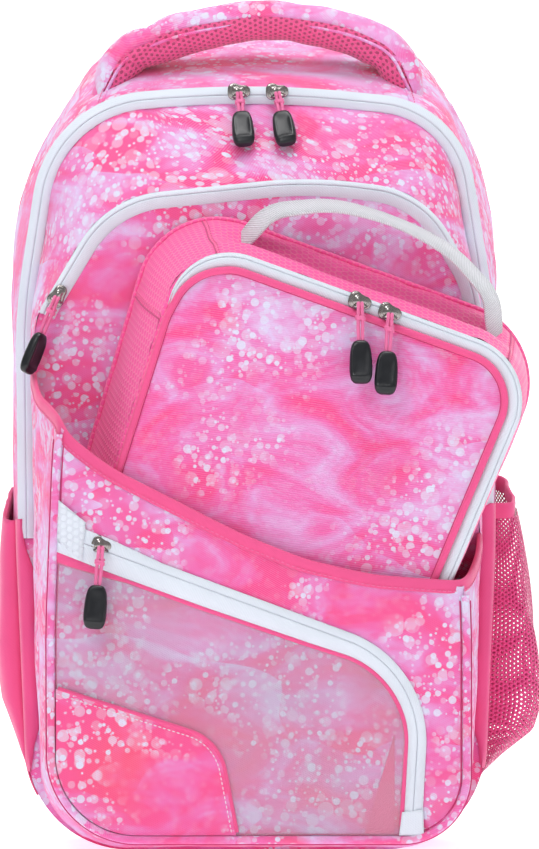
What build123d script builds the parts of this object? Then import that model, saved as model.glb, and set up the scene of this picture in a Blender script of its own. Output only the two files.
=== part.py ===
from build123d import *
from math import atan2, cos, degrees, radians, sin
import os

# School backpack with a lunch bag standing in its front slip pocket.
# Millimetres. -Y is the front, +Z is up, +X is to the right for someone facing the front.
# Left and right in the names are as seen from the front.
# The origin is on the floor, under the middle of the base panel's front part.

# Depth of each layer, from the back panel to the front of the slip pocket
BACK_Y = 92.0
MAIN_Y = -8.0
SECOND_Y = -46.0
FRONT_Y = -114.0

# Sheet thicknesses
FABRIC = 2.0
PANEL = 1.6
TAPE = 1.2
FILM = 0.8

# Closed outlines seen from the front: corner x, corner z, corner radius.
# Each starts bottom left and runs up the left side, over the top and down the right side.
BACK = [
    (-126, 0, 58), (-140.5, 190, 400), (-142.5, 379, 145), (-86.5, 466, 48), (0, 469, 600),
    (90, 466, 50), (138.5, 389, 150), (137, 190, 400), (126, 0, 58),
]
MAIN = [
    (-127, 0, 58), (-134, 170, 400), (-135.5, 305, 300), (-117.5, 424, 68), (0, 434, 600),
    (116, 422, 57), (134, 310, 300), (134, 170, 400), (127, 0, 58),
]
SECOND = [
    (-119, 5, 45), (-122, 180, 300), (-124, 299, 40), (-83, 367.5, 60), (30, 379, 250),
    (94, 371, 55), (126, 316, 60), (125, 180, 300), (119, 5, 45),
]
FRONT = [
    (-110.5, 14.5, 46), (-111, 130, 600), (-107.5, 225, 600), (-100, 300, 30), (0, 302, 900),
    (100, 300, 30), (110, 225, 600), (114.5, 130, 600), (114.5, 14.5, 34),
]

# Zip tapes
MAIN_TAPE_WIDTH = 10.0
MAIN_TAPE_END_Z = 177.0
SECOND_TAPE_WIDTH = 9.6
SECOND_TAPE_END_Z = 302.0

# Seams that divide the main gusset
TOP_SEAM_X = 88.0
TOP_SEAM_Z = 360.0
BASE_SEAM_X = 69.0
BASE_SEAM_Z = 20.0

# Mouth of the slip pocket: its line on the front panel, then its height where it meets the pack
MOUTH = [(-125, 262), (-112, 243), (-102, 234.8), (-79, 217), (-8, 181), (27, 167), (64, 158.5), (125, 154)]
MOUTH_BACK_LEFT_Z = 270.0
MOUTH_BACK_RIGHT_Z = 180.0
MOUTH_FRONT_LEFT_Z = 243.0
MOUTH_FRONT_RIGHT_Z = 155.0
BINDING_WIDTH = 7.4

# Piping round the front panel
PIPING_RADIUS = 2.2
PIPING_STAND_OFF = 1.6

# Flat zip pocket on the front panel: middle line of its tape, then the patch below it
ZIP_POCKET_PATH = [(-115, 183.5), (91, 107.5), (85.5, 21)]
ZIP_POCKET_BEND = 58.0
ZIP_POCKET_TAPE_WIDTH = 10.5
WINDOW_BINDING_WIDTH = 4.0
FRONT_TRIM_INSET = 1.5
ZIP_END_PATCH = [(-107, 197.5), (-92.5, 184.5), (-92.5, 175), (-107, 180.5)]
RIBBON_WEDGE = [(84.5, 66), (86, 10), (60, 10)]
PATCH_LINE = [(-125, 101.5), (-20, 68), (-7, 0)]
PATCH_BEND = 28.0

# Side pockets: outer profile seen from the front, without the edge against the pack
POCKET_Y = (8.0, 84.0)
LEFT_POCKET = [(-122, 30), (-134, 54), (-145, 84), (-148, 115), (-146.5, 165), (-143, 206)]
RIGHT_POCKET = [(122, 34), (140, 52), (158, 66), (162.5, 80), (161, 122), (152.5, 180), (145, 212)]
POCKET_WALL = 1.5
LEFT_POCKET_TOP = (186.0, 204.0)
RIGHT_POCKET_TOP = (196.0, 211.0)
HEM = 9.0

# Back: foam, pads, yoke and hang loop
FOAM = 6.0
PAD_DEPTH = 9.0
PAD_EDGE = 4.0
RIB = [(24, 74, 14), (32, 395, 24), (82, 395, 24), (64, 74, 14)]
LUMBAR = [(-66, 22, 12), (-68, 62, 12), (68, 62, 12), (66, 22, 12)]
YOKE = [(-86, 412, 6), (-86, 438, 6), (86, 438, 6), (86, 412, 6)]
YOKE_DEPTH = 3.0
HANG_LOOP = [(0, 399), (14, 397), (14, 364), (0, 362)]
HANG_LOOP_BEND = 6.0
HANG_LOOP_WIDTH = 15.0

# Shoulder straps: middle line seen from the side, measured rearwards and upwards from the yoke
STRAP_X = 50.0
STRAP_SPLAY = 6.0
STRAP_WIDTH = 56.0
STRAP_PAD = 12.0
STRAP_TOP_Z = 424.0
STRAP_PATH = [(9, -2), (28, 8), (46, -12), (57, -70), (55, -150), (38, -214)]
STRAP_BENDS = [12, 22, 60, 120]
LOCK_SIZE = (26.0, 5.0, 36.0)
LOCK_SLOT = (5.0, 9.0, 27.0)
LOCK_SLOT_SPACING = 6.0
WEBBING_WIDTH = 25.0
WEBBING = 1.6
WEBBING_PATH = [(31, -242), (12, -324), (4.2, -384)]
WEBBING_BEND = 300.0
ANCHOR = [(82, 24, 3), (76, 48, 4), (102, 48, 4), (108, 24, 3)]

# Carry handle, seen from the front
HANDLE_Y = 24.0
HANDLE_PATH = [(-90, 424), (-77, 452), (-46, 464), (6, 474.5), (57, 464.5), (80, 453), (92, 424)]
HANDLE_BENDS = [30, 110, 120, 110, 30]
HANDLE_SECTION = (30.0, 20.0)
HANDLE_CORE = (23.0, 11.0)
HANDLE_SPLIT = -3.0
HANDLE_END_GAP = 3.6

# Lunch bag, in its own turned frame about its centre
LUNCH_X = 23.2
LUNCH_Z = 208.4
LUNCH_TURN = 20.0
LUNCH_FRONT_Y = -107.5
LUNCH_BACK_Y = -50.0
LUNCH_FRONT = [(-94, -108, 24), (-104, 108, 36), (104, 108, 36), (94, -108, 24)]
LUNCH_BACK = [(-110, -108, 38), (-124, 125, 44), (107, 125, 44), (92, -108, 30)]
LUNCH_TAPE_WIDTH = 8.0
LUNCH_TAPE_LEFT_END = 78.0
LUNCH_TAPE_RIGHT_END = -60.0
LUNCH_PIPING_RADIUS = 1.8
LUNCH_LINER_Y = (-105.5, -52.2)
LUNCH_LINER = 1.0
LUNCH_HANDLE = [(-78, 104), (-66, 136), (-36, 151), (2, 156), (38, 149), (66, 134), (80, 102)]
LUNCH_HANDLE_BENDS = [24, 70, 150, 70, 24]
LUNCH_HANDLE_Y = -72.0
LUNCH_HANDLE_WIDTH = 22.0
LUNCH_HANDLE_GAP = 2.2
LUNCH_HANDLE_AXIS = 119.0

# Zip hardware: each pull swings on a bail across the front of its slider
SLIDER = (11.0, 8.0, 4.0)
SLIDER_ROUND = 1.2
SLIDER_GAP = 0.4
BAIL_WIRE = 0.8
BAIL_HEIGHT = 3.4
BAIL_SPAN = 6.4
BAIL_DROP = 3.0
EYE_RADIUS = 2.0
CORD = 0.85
STRAND_OFFSET = 1.1
KNOT = 2.4
GRIP = (12.4, 24.0, 7.0)
GRIP_ROUND = 3.2

# name: middle of the slider (x, z), face of its tape, zip direction, pull lean, tilt, cord length, grip yaw
SLIDERS = {
    "main_left": ((-9.6, 429.0), MAIN_Y - TAPE, 0, -6, 36, 10, 0),
    "main_right": ((12.0, 429.0), MAIN_Y - TAPE, 0, -10, 36, 10, 0),
    "second": ((-110.5, 312.5), SECOND_Y - TAPE, -59, 22, 4, 18, 60),
    "pocket": ((-84.0, 174.8), FRONT_Y - TAPE, 20, 5, 6, 17, 0),
    "lunch_left": ((57.2, 308.0), LUNCH_FRONT_Y - TAPE, 20, -0.5, 10, 17, 0),
    "lunch_right": ((73.7, 302.0), LUNCH_FRONT_Y - TAPE, 20, 4, 10, 17, 0),
}


def front_plane(y, x=0.0, z=0.0, turn=0.0):
    """A plane facing the front, local x towards +X and local y up, turned clockwise by turn degrees."""
    angle = radians(turn)
    return Plane(origin=(x, y, z), x_dir=(cos(angle), 0, -sin(angle)), z_dir=(0, -1, 0))


def lunch_plane(y):
    return front_plane(y, LUNCH_X, LUNCH_Z, LUNCH_TURN)


def inset(corners, amount):
    """The same outline with every edge moved inwards by amount, outwards if it is negative."""
    moved = []
    for i, (x, z, radius) in enumerate(corners):
        before = Vector(*corners[i - 1][:2])
        here = Vector(x, z)
        after = Vector(*corners[(i + 1) % len(corners)][:2])
        into = (here - before).normalized()
        out_of = (after - here).normalized()
        sideways = Vector(into.Y + out_of.Y, -into.X - out_of.X)
        corner = here + sideways * (amount / (1 + into.dot(out_of)))
        moved.append((corner.X, corner.Y, max(radius - amount, 1.0)))
    return moved


def closed_face(corners):
    points = [(x, z) for x, z, _ in corners]
    radii = [radius for _, _, radius in corners]
    return make_face(FilletPolyline(*points, radius=radii, close=True).edges())


def polygon(points):
    return make_face(Polyline(*points, close=True).edges())


def plate(face, plane, thickness):
    """The face as a plate whose back lies on the plane and whose front is thickness nearer the front."""
    return extrude(plane * face, amount=thickness)


def frustum(near, near_y, far, far_y, plane=front_plane):
    faces = [plane(near_y) * closed_face(near), plane(far_y) * closed_face(far)]
    return loft(faces, ruled=True)


def gusset(near, near_y, far, far_y, wall=FABRIC, plane=front_plane):
    outer = frustum(near, near_y, far, far_y, plane)
    return outer - frustum(inset(near, wall), near_y, inset(far, wall), far_y, plane)


def block(x, y, z):
    """A box from three (low, high) pairs."""
    size = [high - low for low, high in (x, y, z)]
    middle = [(low + high) / 2 for low, high in (x, y, z)]
    return Pos(*middle) * Box(*size)


def side_prism(points, x_low, x_high):
    """An outline of (y, z) points carried from x_low to x_high."""
    plane = Plane(origin=(x_low, 0, 0), x_dir=(0, 1, 0), z_dir=(1, 0, 0))
    return extrude(plane * polygon(points), amount=x_high - x_low)


def across(face, plane, width):
    """A side-view face carried equally both ways along the plane's normal."""
    return extrude(plane.offset(-width / 2) * face, amount=width)


def at_height(low, high, z):
    """The point at height z on the line through two outline corners."""
    share = (z - low[1]) / (high[1] - low[1])
    return low[0] + share * (high[0] - low[0]), z


def tube(path, radius):
    return sweep(Plane(path @ 0, z_dir=path % 0) * Circle(radius), path=path)


def main_shell():
    """Top, left and right gussets and the base panel, parted at their seams."""
    ring = gusset(MAIN, MAIN_Y, BACK, BACK_Y - FABRIC)
    top_zone = block((-TOP_SEAM_X, TOP_SEAM_X), (-200, 200), (TOP_SEAM_Z, 600))
    base_zone = block((-BASE_SEAM_X, BASE_SEAM_X), (-200, 200), (-10, BASE_SEAM_Z))
    sides = ring - top_zone - base_zone
    return {
        "main_top_gusset": ring & top_zone,
        "base_panel": block((-BASE_SEAM_X, BASE_SEAM_X), (MAIN_Y, BACK_Y - FABRIC), (0, FABRIC)),
        "main_left_gusset": sides & block((-300, 0), (-200, 200), (-10, 600)),
        "main_right_gusset": sides & block((0, 300), (-200, 200), (-10, 600)),
    }


def mirrored(corners):
    return [(-x, z, radius) for x, z, radius in reversed(corners)]


def back_of_pack():
    """Back panel and its foam, three pads, the yoke the straps come out of, and the hang loop."""
    panel = plate(closed_face(BACK), front_plane(BACK_Y), FABRIC)
    foam = plate(closed_face(inset(BACK, 6)), front_plane(BACK_Y - FABRIC), FOAM)
    outside = front_plane(BACK_Y + PAD_DEPTH)
    pads = [plate(closed_face(shape), outside, PAD_DEPTH) for shape in (mirrored(RIB), RIB, LUMBAR)]
    pads = [chamfer(pad.faces().sort_by(Axis.Y)[-1].edges(), PAD_EDGE) for pad in pads]
    yoke = plate(closed_face(YOKE), front_plane(BACK_Y + YOKE_DEPTH), YOKE_DEPTH)
    side = Plane(origin=(0, BACK_Y, 0), x_dir=(0, 1, 0), z_dir=(1, 0, 0))
    loop_line = FilletPolyline(*HANG_LOOP, radius=HANG_LOOP_BEND)
    loop = across(trace(loop_line, WEBBING), side, HANG_LOOP_WIDTH)
    anchors = [plate(closed_face(shape), front_plane(BACK_Y + YOKE_DEPTH), YOKE_DEPTH)
               for shape in (mirrored(ANCHOR), ANCHOR)]
    return {
        "back_panel": panel,
        "back_foam": foam,
        "back_pads": Compound(pads),
        "strap_anchors": Compound([yoke] + anchors),
        "hang_loop": loop - panel,
    }


def tape_band(corners, y, width, end_z):
    """A zip tape that follows the outline over the top and ends on both sides at end_z."""
    face = closed_face(corners) - closed_face(inset(corners, width))
    return plate(face, front_plane(y), TAPE) & block((-300, 300), (-300, 300), (end_z, 600))


def main_front():
    wall = plate(closed_face(inset(MAIN, FABRIC)), front_plane(MAIN_Y + PANEL), PANEL)
    return {
        "main_front_panel": wall,
        "main_zip_tape": tape_band(MAIN, MAIN_Y, MAIN_TAPE_WIDTH, MAIN_TAPE_END_Z),
    }


def second_compartment():
    start = inset(MAIN, MAIN_TAPE_WIDTH)
    return {
        "second_gusset": gusset(SECOND, SECOND_Y, start, MAIN_Y),
        "second_front_panel": plate(closed_face(inset(SECOND, FABRIC)), front_plane(SECOND_Y + PANEL), PANEL),
        "second_zip_tape": tape_band(SECOND, SECOND_Y, SECOND_TAPE_WIDTH, SECOND_TAPE_END_Z),
    }


def above_mouth(drop):
    """Everything above the slip pocket's mouth, lowered by drop."""
    front = [(x, z - drop) for x, z in MOUTH] + [(125, 400), (-125, 400)]
    front_zone = plate(polygon(front), front_plane(FRONT_Y + PANEL), 10)
    left = [(FRONT_Y + PANEL, MOUTH_FRONT_LEFT_Z - drop), (SECOND_Y, MOUTH_BACK_LEFT_Z - drop)]
    right = [(FRONT_Y + PANEL, MOUTH_FRONT_RIGHT_Z - drop), (SECOND_Y, MOUTH_BACK_RIGHT_Z - drop)]
    ceiling = [(SECOND_Y, 400), (FRONT_Y + PANEL, 400)]
    return front_zone + side_prism(left + ceiling, -200, 0) + side_prism(right + ceiling, 0, 200)


def slip_pocket():
    panel_back = FRONT_Y + PANEL
    ring = gusset(FRONT, panel_back, SECOND, SECOND_Y)
    panel = plate(closed_face(FRONT), front_plane(panel_back), PANEL)
    whole = ring + panel
    binding = (whole & above_mouth(BINDING_WIDTH)) - above_mouth(0)
    upper = above_mouth(BINDING_WIDTH)
    left = block((-300, 0), (-300, 300), (-10, 600))
    right = block((0, 300), (-300, 300), (-10, 600))
    edge = inset(FRONT, -PIPING_STAND_OFF)
    start = at_height(edge[1], edge[2], MOUTH_FRONT_LEFT_Z - BINDING_WIDTH)
    end = at_height(edge[7], edge[6], MOUTH_FRONT_RIGHT_Z)
    around = [edge[1], edge[0], edge[8], edge[7]]
    route = FilletPolyline(start, *[(x, z) for x, z, _ in around], end, radius=[r for _, _, r in around])
    piping = tube(front_plane(FRONT_Y - PIPING_STAND_OFF) * Wire(route.edges()), PIPING_RADIUS)
    return {
        "pocket_left_gusset": (ring & left) - upper,
        "pocket_right_gusset": (ring & right) - upper,
        "pocket_front_panel": panel - upper,
        "pocket_binding": binding,
        "pocket_piping": piping,
    }


def zip_pocket():
    """The flat pocket on the front panel: tape, clear window, its binding and the corner patch."""
    path = FilletPolyline(*ZIP_POCKET_PATH, radius=[ZIP_POCKET_BEND])
    first, last = ZIP_POCKET_PATH[0], ZIP_POCKET_PATH[-1]
    closing = Polyline(last, (last[0], 0), (-140, 0), (-140, first[1]), first)
    patch_edge = FilletPolyline(*PATCH_LINE, radius=[PATCH_BEND])
    patch_close = Polyline(PATCH_LINE[-1], (-140, 0), PATCH_LINE[0])

    def layer(face, thickness=FILM, y=FRONT_Y):
        return plate(face, front_plane(y), thickness)

    field = closed_face(inset(FRONT, FRONT_TRIM_INSET))
    below = layer(make_face(path.edges() + closing.edges()))
    tape = trace(path, ZIP_POCKET_TAPE_WIDTH)
    bound = layer(trace(path, ZIP_POCKET_TAPE_WIDTH + 2 * WINDOW_BINDING_WIDTH))
    wedge = layer(polygon(RIBBON_WEDGE)) - layer(tape)
    patch = make_face(patch_edge.edges() + patch_close.edges())
    tape_and_end = layer(tape, TAPE) + layer(polygon(ZIP_END_PATCH), TAPE)
    return {
        "zip_pocket_tape": tape_and_end & layer(field, TAPE),
        "window_binding": (((bound & below) - layer(tape)) + wedge) & layer(field),
        "window_panel": (layer(field) & below) - bound - wedge,
        "corner_patch": layer(patch, FILM, FRONT_Y - FILM) & layer(field, FILM, FRONT_Y - FILM),
    }


def side_pocket(profile, top):
    """An open-topped pocket on the pack's side: walls on three sides and below."""
    sign = 1 if profile[0][0] > 0 else -1
    inner_x = 100 * sign
    pack = frustum(MAIN, MAIN_Y, BACK, BACK_Y - FABRIC)
    outline = [(inner_x, profile[0][1])] + profile + [(profile[-1][0], 260), (inner_x, 260)]
    lining = [(x - POCKET_WALL * sign, z + POCKET_WALL) for x, z in profile]
    hollow = [(inner_x, lining[0][1])] + lining + [(lining[-1][0], 260), (inner_x, 260)]
    depth = POCKET_Y[1] - POCKET_Y[0]
    outer = plate(polygon(outline), front_plane(POCKET_Y[1]), depth)
    inner = plate(polygon(hollow), front_plane(POCKET_Y[1] - POCKET_WALL), depth - 2 * POCKET_WALL)
    front_z, back_z = top
    lid = [(POCKET_Y[0], front_z), (POCKET_Y[1], back_z), (POCKET_Y[1], 300), (POCKET_Y[0], 300)]
    hem_line = [(POCKET_Y[0], front_z - HEM), (POCKET_Y[1], back_z - HEM), (POCKET_Y[1], 300), (POCKET_Y[0], 300)]
    shell = outer - inner - pack - side_prism(lid, -300, 300)
    return shell, side_prism(hem_line, -300, 300)


def side_pockets():
    left, _ = side_pocket(LEFT_POCKET, LEFT_POCKET_TOP)
    right, hem_zone = side_pocket(RIGHT_POCKET, RIGHT_POCKET_TOP)
    pack = frustum(MAIN, MAIN_Y, BACK, BACK_Y - FABRIC)
    edge = block((124, 139), (POCKET_Y[0] - POCKET_WALL, POCKET_Y[0]), (60, 196)) - pack
    return {
        "left_side_pocket": left,
        "right_mesh_pocket": right - hem_zone,
        "right_pocket_binding": Compound((right & hem_zone).solids() + edge.solids()),
    }


def strap_plane(side):
    """The side view of one strap: local x to the rear, local y up, splayed outwards below the yoke."""
    splay = radians(STRAP_SPLAY)
    outwards = (cos(splay), 0, side * sin(splay))
    return Plane(origin=(side * STRAP_X, BACK_Y, STRAP_TOP_Z), x_dir=(0, 1, 0), z_dir=outwards)


def strap(side, name):
    """Padded strap, the ladder lock on its end, and the webbing down to the anchor."""
    plane = strap_plane(side)
    pad = across(trace(FilletPolyline(*STRAP_PATH, radius=STRAP_BENDS), STRAP_PAD), plane, STRAP_WIDTH)
    end = Vector(*STRAP_PATH[-1])
    run = (end - Vector(*STRAP_PATH[-2])).normalized()
    lean = degrees(atan2(run.Y, run.X))
    middle = end + run * (LOCK_SIZE[0] / 2)

    def at(distance, size):
        place = middle + run * distance
        return across(Pos(place.X, place.Y) * Rot(0, 0, lean) * Rectangle(*size[:2]), plane, size[2])

    lock = at(0, LOCK_SIZE) - at(LOCK_SLOT_SPACING, LOCK_SLOT) - at(-LOCK_SLOT_SPACING, LOCK_SLOT)
    line = FilletPolyline(*WEBBING_PATH, radius=WEBBING_BEND)
    webbing = across(trace(line, WEBBING), plane, WEBBING_WIDTH)
    return {f"{name}_strap_pad": pad, f"{name}_strap_buckle": lock, f"{name}_strap_webbing": webbing}


def carry_handle():
    """Printed cover over the top, mesh lining underneath, foam inside, stopping short of the gusset."""
    path = front_plane(HANDLE_Y) * Wire(FilletPolyline(*HANDLE_PATH, radius=HANDLE_BENDS).edges())
    section = Plane(origin=path @ 0, x_dir=(0, 1, 0), z_dir=path % 0)
    wide, high = HANDLE_SECTION
    outer = RectangleRounded(wide, high, high / 2 - 0.5)
    core = RectangleRounded(*HANDLE_CORE, HANDLE_CORE[1] / 2 - 0.5)
    upper = Pos(0, HANDLE_SPLIT + high) * Rectangle(2 * wide, 2 * high)
    clear = frustum(inset(MAIN, -HANDLE_END_GAP), MAIN_Y, inset(BACK, -HANDLE_END_GAP), BACK_Y)
    sections = {"handle_cover": (outer - core) & upper, "handle_lining": outer - core - upper,
                "handle_core": core}
    return {name: sweep(section * shape, path=path) - clear for name, shape in sections.items()}


def lunch_body():
    front, back = LUNCH_FRONT, LUNCH_BACK
    shell = gusset(front, LUNCH_FRONT_Y, back, LUNCH_BACK_Y, plane=lunch_plane)
    liner = gusset(inset(front, 2.4), LUNCH_LINER_Y[0], inset(back, 3.4), LUNCH_LINER_Y[1],
                   LUNCH_LINER, lunch_plane)
    front_panel = plate(closed_face(inset(front, FABRIC)), lunch_plane(LUNCH_FRONT_Y + PANEL), PANEL)
    back_panel = plate(closed_face(inset(back, FABRIC + 0.6)), lunch_plane(LUNCH_BACK_Y), PANEL)
    turned = lunch_plane(0)
    over_top = extrude(turned * Pos(0, LUNCH_TAPE_LEFT_END + 100) * Rectangle(400, 200), 300)
    down_right = extrude(turned * Pos(160, LUNCH_TAPE_RIGHT_END + 100) * Rectangle(200, 200), 300)
    band = closed_face(front) - closed_face(inset(front, LUNCH_TAPE_WIDTH))
    tape = plate(band, lunch_plane(LUNCH_FRONT_Y), TAPE) & (over_top + down_right)
    line = closed_face(inset(front, LUNCH_TAPE_WIDTH + LUNCH_PIPING_RADIUS + 0.1)).face().outer_wire()
    piping = tube(lunch_plane(LUNCH_FRONT_Y - LUNCH_PIPING_RADIUS) * line, LUNCH_PIPING_RADIUS)
    return {
        "lunch_front_panel": front_panel,
        "lunch_gusset": shell,
        "lunch_back_panel": back_panel,
        "lunch_liner": liner,
        "lunch_zip_tape": tape,
        "lunch_piping": piping,
    }


def lunch_handle():
    """A webbing loop over the top of the lunch bag, its front corners cut away so that it can fold."""
    line = FilletPolyline(*LUNCH_HANDLE, radius=LUNCH_HANDLE_BENDS)
    half = LUNCH_HANDLE_WIDTH / 2
    loop = plate(trace(line, WEBBING), lunch_plane(LUNCH_HANDLE_Y + half), LUNCH_HANDLE_WIDTH)
    gap = LUNCH_HANDLE_GAP
    clear = frustum(inset(LUNCH_FRONT, -gap), LUNCH_FRONT_Y, inset(LUNCH_BACK, -gap), LUNCH_BACK_Y, lunch_plane)
    base = lunch_plane(0)
    fold = Plane(origin=base.from_local_coords(Vector(-110, 0, 0)), x_dir=(0, 1, 0), z_dir=base.x_dir)
    axis_y, axis_z = LUNCH_HANDLE_Y, LUNCH_HANDLE_AXIS
    corner = polygon([(axis_y, axis_z - 20), (axis_y, axis_z + 1), (axis_y - 20, axis_z + 13),
                      (axis_y - 20, axis_z - 20)])
    return {"lunch_handle": loop - clear - extrude(fold * corner, amount=220)}


def zip_slider(place, face_y, zip_turn, lean):
    """Slider body with a bail across its front."""
    length, width, thick = SLIDER
    front_y = face_y - SLIDER_GAP - thick
    body = extrude(front_plane(front_y + thick, *place, zip_turn) * Rectangle(length, width), thick)
    body = fillet(body.edges(), SLIDER_ROUND)
    pin = bail_plane(place, face_y, lean)
    rod = pin * Rot(0, 90, 0) * Cylinder(BAIL_WIRE, BAIL_SPAN)
    post_height = BAIL_HEIGHT + thick / 2
    post = Box(2 * BAIL_WIRE, 2.2 * BAIL_WIRE, post_height + BAIL_WIRE)
    posts = [pin * Pos(x, 0, (1.1 * BAIL_WIRE - post_height) / 2) * post
             for x in (-BAIL_SPAN / 2, BAIL_SPAN / 2)]
    return body + rod + posts[0] + posts[1]


def bail_plane(place, face_y, lean):
    """Local x along the bail, local y up against the hanging pull, local z forwards."""
    upright = front_plane(face_y - SLIDER_GAP - SLIDER[2] - BAIL_HEIGHT, *place, lean)
    return upright * Pos(0, -BAIL_DROP, 0)


def zip_pull(place, face_y, lean, tilt, cord_length, yaw):
    """Cord loop round the bail, knotted, and moulded into a rounded grip."""
    hang = bail_plane(place, face_y, lean) * Rot(-tilt, 0, 0)
    start = EYE_RADIUS
    eye = hang * Rot(0, 90, 0) * Torus(EYE_RADIUS, CORD)
    strands = [hang * Pos(x, -start - cord_length / 2, 0) * Rot(90, 0, 0) * Cylinder(CORD, cord_length)
               for x in (-STRAND_OFFSET, STRAND_OFFSET)]
    knot = hang * Pos(0, -start - cord_length * 0.45, 0) * Sphere(KNOT)
    wide, long, thick = GRIP
    grip_at = hang * Pos(0, -start - cord_length - long / 2, 0) * Rot(0, yaw, 0)
    grip = fillet(Box(wide, long, thick).edges(), GRIP_ROUND)
    return eye + strands[0] + strands[1] + knot, grip_at * grip


def zip_hardware():
    parts = {}
    for name, (place, face_y, zip_turn, lean, tilt, cord_length, yaw) in SLIDERS.items():
        loop, grip = zip_pull(place, face_y, lean, tilt, cord_length, yaw)
        parts[f"{name}_slider"] = zip_slider(place, face_y, zip_turn, lean)
        parts[f"{name}_pull_loop"] = loop
        parts[f"{name}_pull_grip"] = grip
    return parts


def build():
    parts = {}
    for group in (
        main_shell(), back_of_pack(), main_front(), second_compartment(), slip_pocket(), zip_pocket(),
        side_pockets(), strap(-1, "left"), strap(1, "right"), carry_handle(), lunch_body(),
        lunch_handle(), zip_hardware(),
    ):
        parts.update(group)
    return parts


os.makedirs("parts", exist_ok=True)
for node, shape in build().items():
    export_step(shape, f"parts/{node}.step")
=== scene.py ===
"""School backpack with a lunch bag in its slip pocket: fabric, zips, padding and hardware."""
import math

import bmesh
import bpy
import numpy as np
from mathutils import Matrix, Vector


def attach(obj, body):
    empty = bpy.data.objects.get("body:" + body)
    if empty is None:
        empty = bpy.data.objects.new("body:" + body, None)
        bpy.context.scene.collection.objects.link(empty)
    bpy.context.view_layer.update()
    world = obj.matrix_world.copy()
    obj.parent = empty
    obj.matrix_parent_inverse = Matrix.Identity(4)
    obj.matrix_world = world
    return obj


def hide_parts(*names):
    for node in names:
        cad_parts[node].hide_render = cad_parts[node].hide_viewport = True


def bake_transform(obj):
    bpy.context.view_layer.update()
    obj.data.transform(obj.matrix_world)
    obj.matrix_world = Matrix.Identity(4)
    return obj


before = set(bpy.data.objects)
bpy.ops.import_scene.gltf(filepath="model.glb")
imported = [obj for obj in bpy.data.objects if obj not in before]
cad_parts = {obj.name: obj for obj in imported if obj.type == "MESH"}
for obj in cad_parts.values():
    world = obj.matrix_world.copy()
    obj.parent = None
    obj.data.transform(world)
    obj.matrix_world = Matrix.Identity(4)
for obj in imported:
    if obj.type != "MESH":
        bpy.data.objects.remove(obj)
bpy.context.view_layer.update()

# Lengths below are millimetres until a mesh is made.
MM = 0.001

# ---- Layers and outlines of the pack: corner x, corner z, corner radius ----
BACK_Y, MAIN_Y, SECOND_Y, FRONT_Y = 92.0, -8.0, -46.0, -114.0
BACK = [
    (-126, 0, 58), (-140.5, 190, 400), (-142.5, 379, 145), (-86.5, 466, 48), (0, 469, 600),
    (90, 466, 50), (138.5, 389, 150), (137, 190, 400), (126, 0, 58),
]
MAIN = [
    (-127, 0, 58), (-134, 170, 400), (-135.5, 305, 300), (-117.5, 424, 68), (0, 434, 600),
    (116, 422, 57), (134, 310, 300), (134, 170, 400), (127, 0, 58),
]
SECOND = [
    (-119, 5, 45), (-122, 180, 300), (-124, 299, 40), (-83, 367.5, 60), (30, 379, 250),
    (94, 371, 55), (126, 316, 60), (125, 180, 300), (119, 5, 45),
]
FRONT = [
    (-110.5, 14.5, 46), (-111, 130, 600), (-107.5, 225, 600), (-100, 300, 30), (0, 302, 900),
    (100, 300, 30), (110, 225, 600), (114.5, 130, 600), (114.5, 14.5, 34),
]
MAIN_TAPE = 10.0
SECOND_TAPE = 9.6
TOP_SEAM_X, TOP_SEAM_Z = 88.0, 360.0
BASE_SEAM_X, BASE_SEAM_Z = 69.0, 20.0
MOUTH = [(-125, 262), (-112, 243), (-102, 234.8), (-79, 217), (-8, 181), (27, 167), (64, 158.5), (125, 154)]
MOUTH_BACK_Z = (270.0, 180.0)
MOUTH_FRONT_Z = (243.0, 155.0)
BINDING = 7.4
PIPING = 2.2
ZIP_POCKET_PATH = [(-115, 183.5), (91, 107.5), (85.5, 21)]
ZIP_POCKET_BEND = 58.0
PATCH_LINE = [(-125, 101.5), (-20, 68), (-7, 0)]
PATCH_BEND = 28.0

# ---- Lunch bag, in its own turned frame ----
LUNCH_X, LUNCH_Z, LUNCH_TURN = 23.2, 208.4, math.radians(20)
LUNCH_FRONT_Y, LUNCH_BACK_Y = -107.5, -50.0
LUNCH_FRONT = [(-94, -108, 24), (-104, 108, 36), (104, 108, 36), (94, -108, 24)]
LUNCH_BACK = [(-110, -108, 38), (-124, 125, 44), (107, 125, 44), (92, -108, 30)]
LUNCH_TAPE, LUNCH_ZIP_START = 8.0, 61.0
LUNCH_HANDLE = [(-78, 104), (-66, 136), (-36, 151), (2, 156), (38, 149), (66, 134), (80, 102)]
LUNCH_HANDLE_BENDS = [24, 70, 150, 70, 24]
LUNCH_HANDLE_Y = -72.0

# ---- Handle, straps and pads ----
HANDLE_Y = 24.0
HANDLE_PATH = [(-90, 424), (-77, 452), (-46, 464), (6, 474.5), (57, 464.5), (80, 453), (92, 424)]
HANDLE_BENDS = [30, 110, 120, 110, 30]
STRAP_X, STRAP_TOP_Z, STRAP_SPLAY = 50.0, 424.0, math.radians(6)
STRAP_WIDTH, STRAP_PAD, WEBBING = 56.0, 12.0, 25.0
STRAP_PATH = [(9, -2), (28, 8), (46, -12), (57, -70), (55, -150), (38, -214)]
STRAP_BENDS = [12, 22, 60, 120]
WEBBING_PATH = [(31, -242), (12, -324), (4.2, -384)]
RIB = [(24, 74, 14), (32, 395, 24), (82, 395, 24), (64, 74, 14)]
LUMBAR = [(-66, 22, 12), (-68, 62, 12), (68, 62, 12), (66, 22, 12)]
YOKE = [(-86, 412, 6), (-86, 438, 6), (86, 438, 6), (86, 412, 6)]
ANCHOR = [(82, 24, 3), (76, 48, 4), (102, 48, 4), (108, 24, 3)]
PAD_DEPTH = 9.0


# ---- Lines ----
def unit(v):
    v = np.asarray(v, float)
    return v / np.linalg.norm(v)


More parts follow.
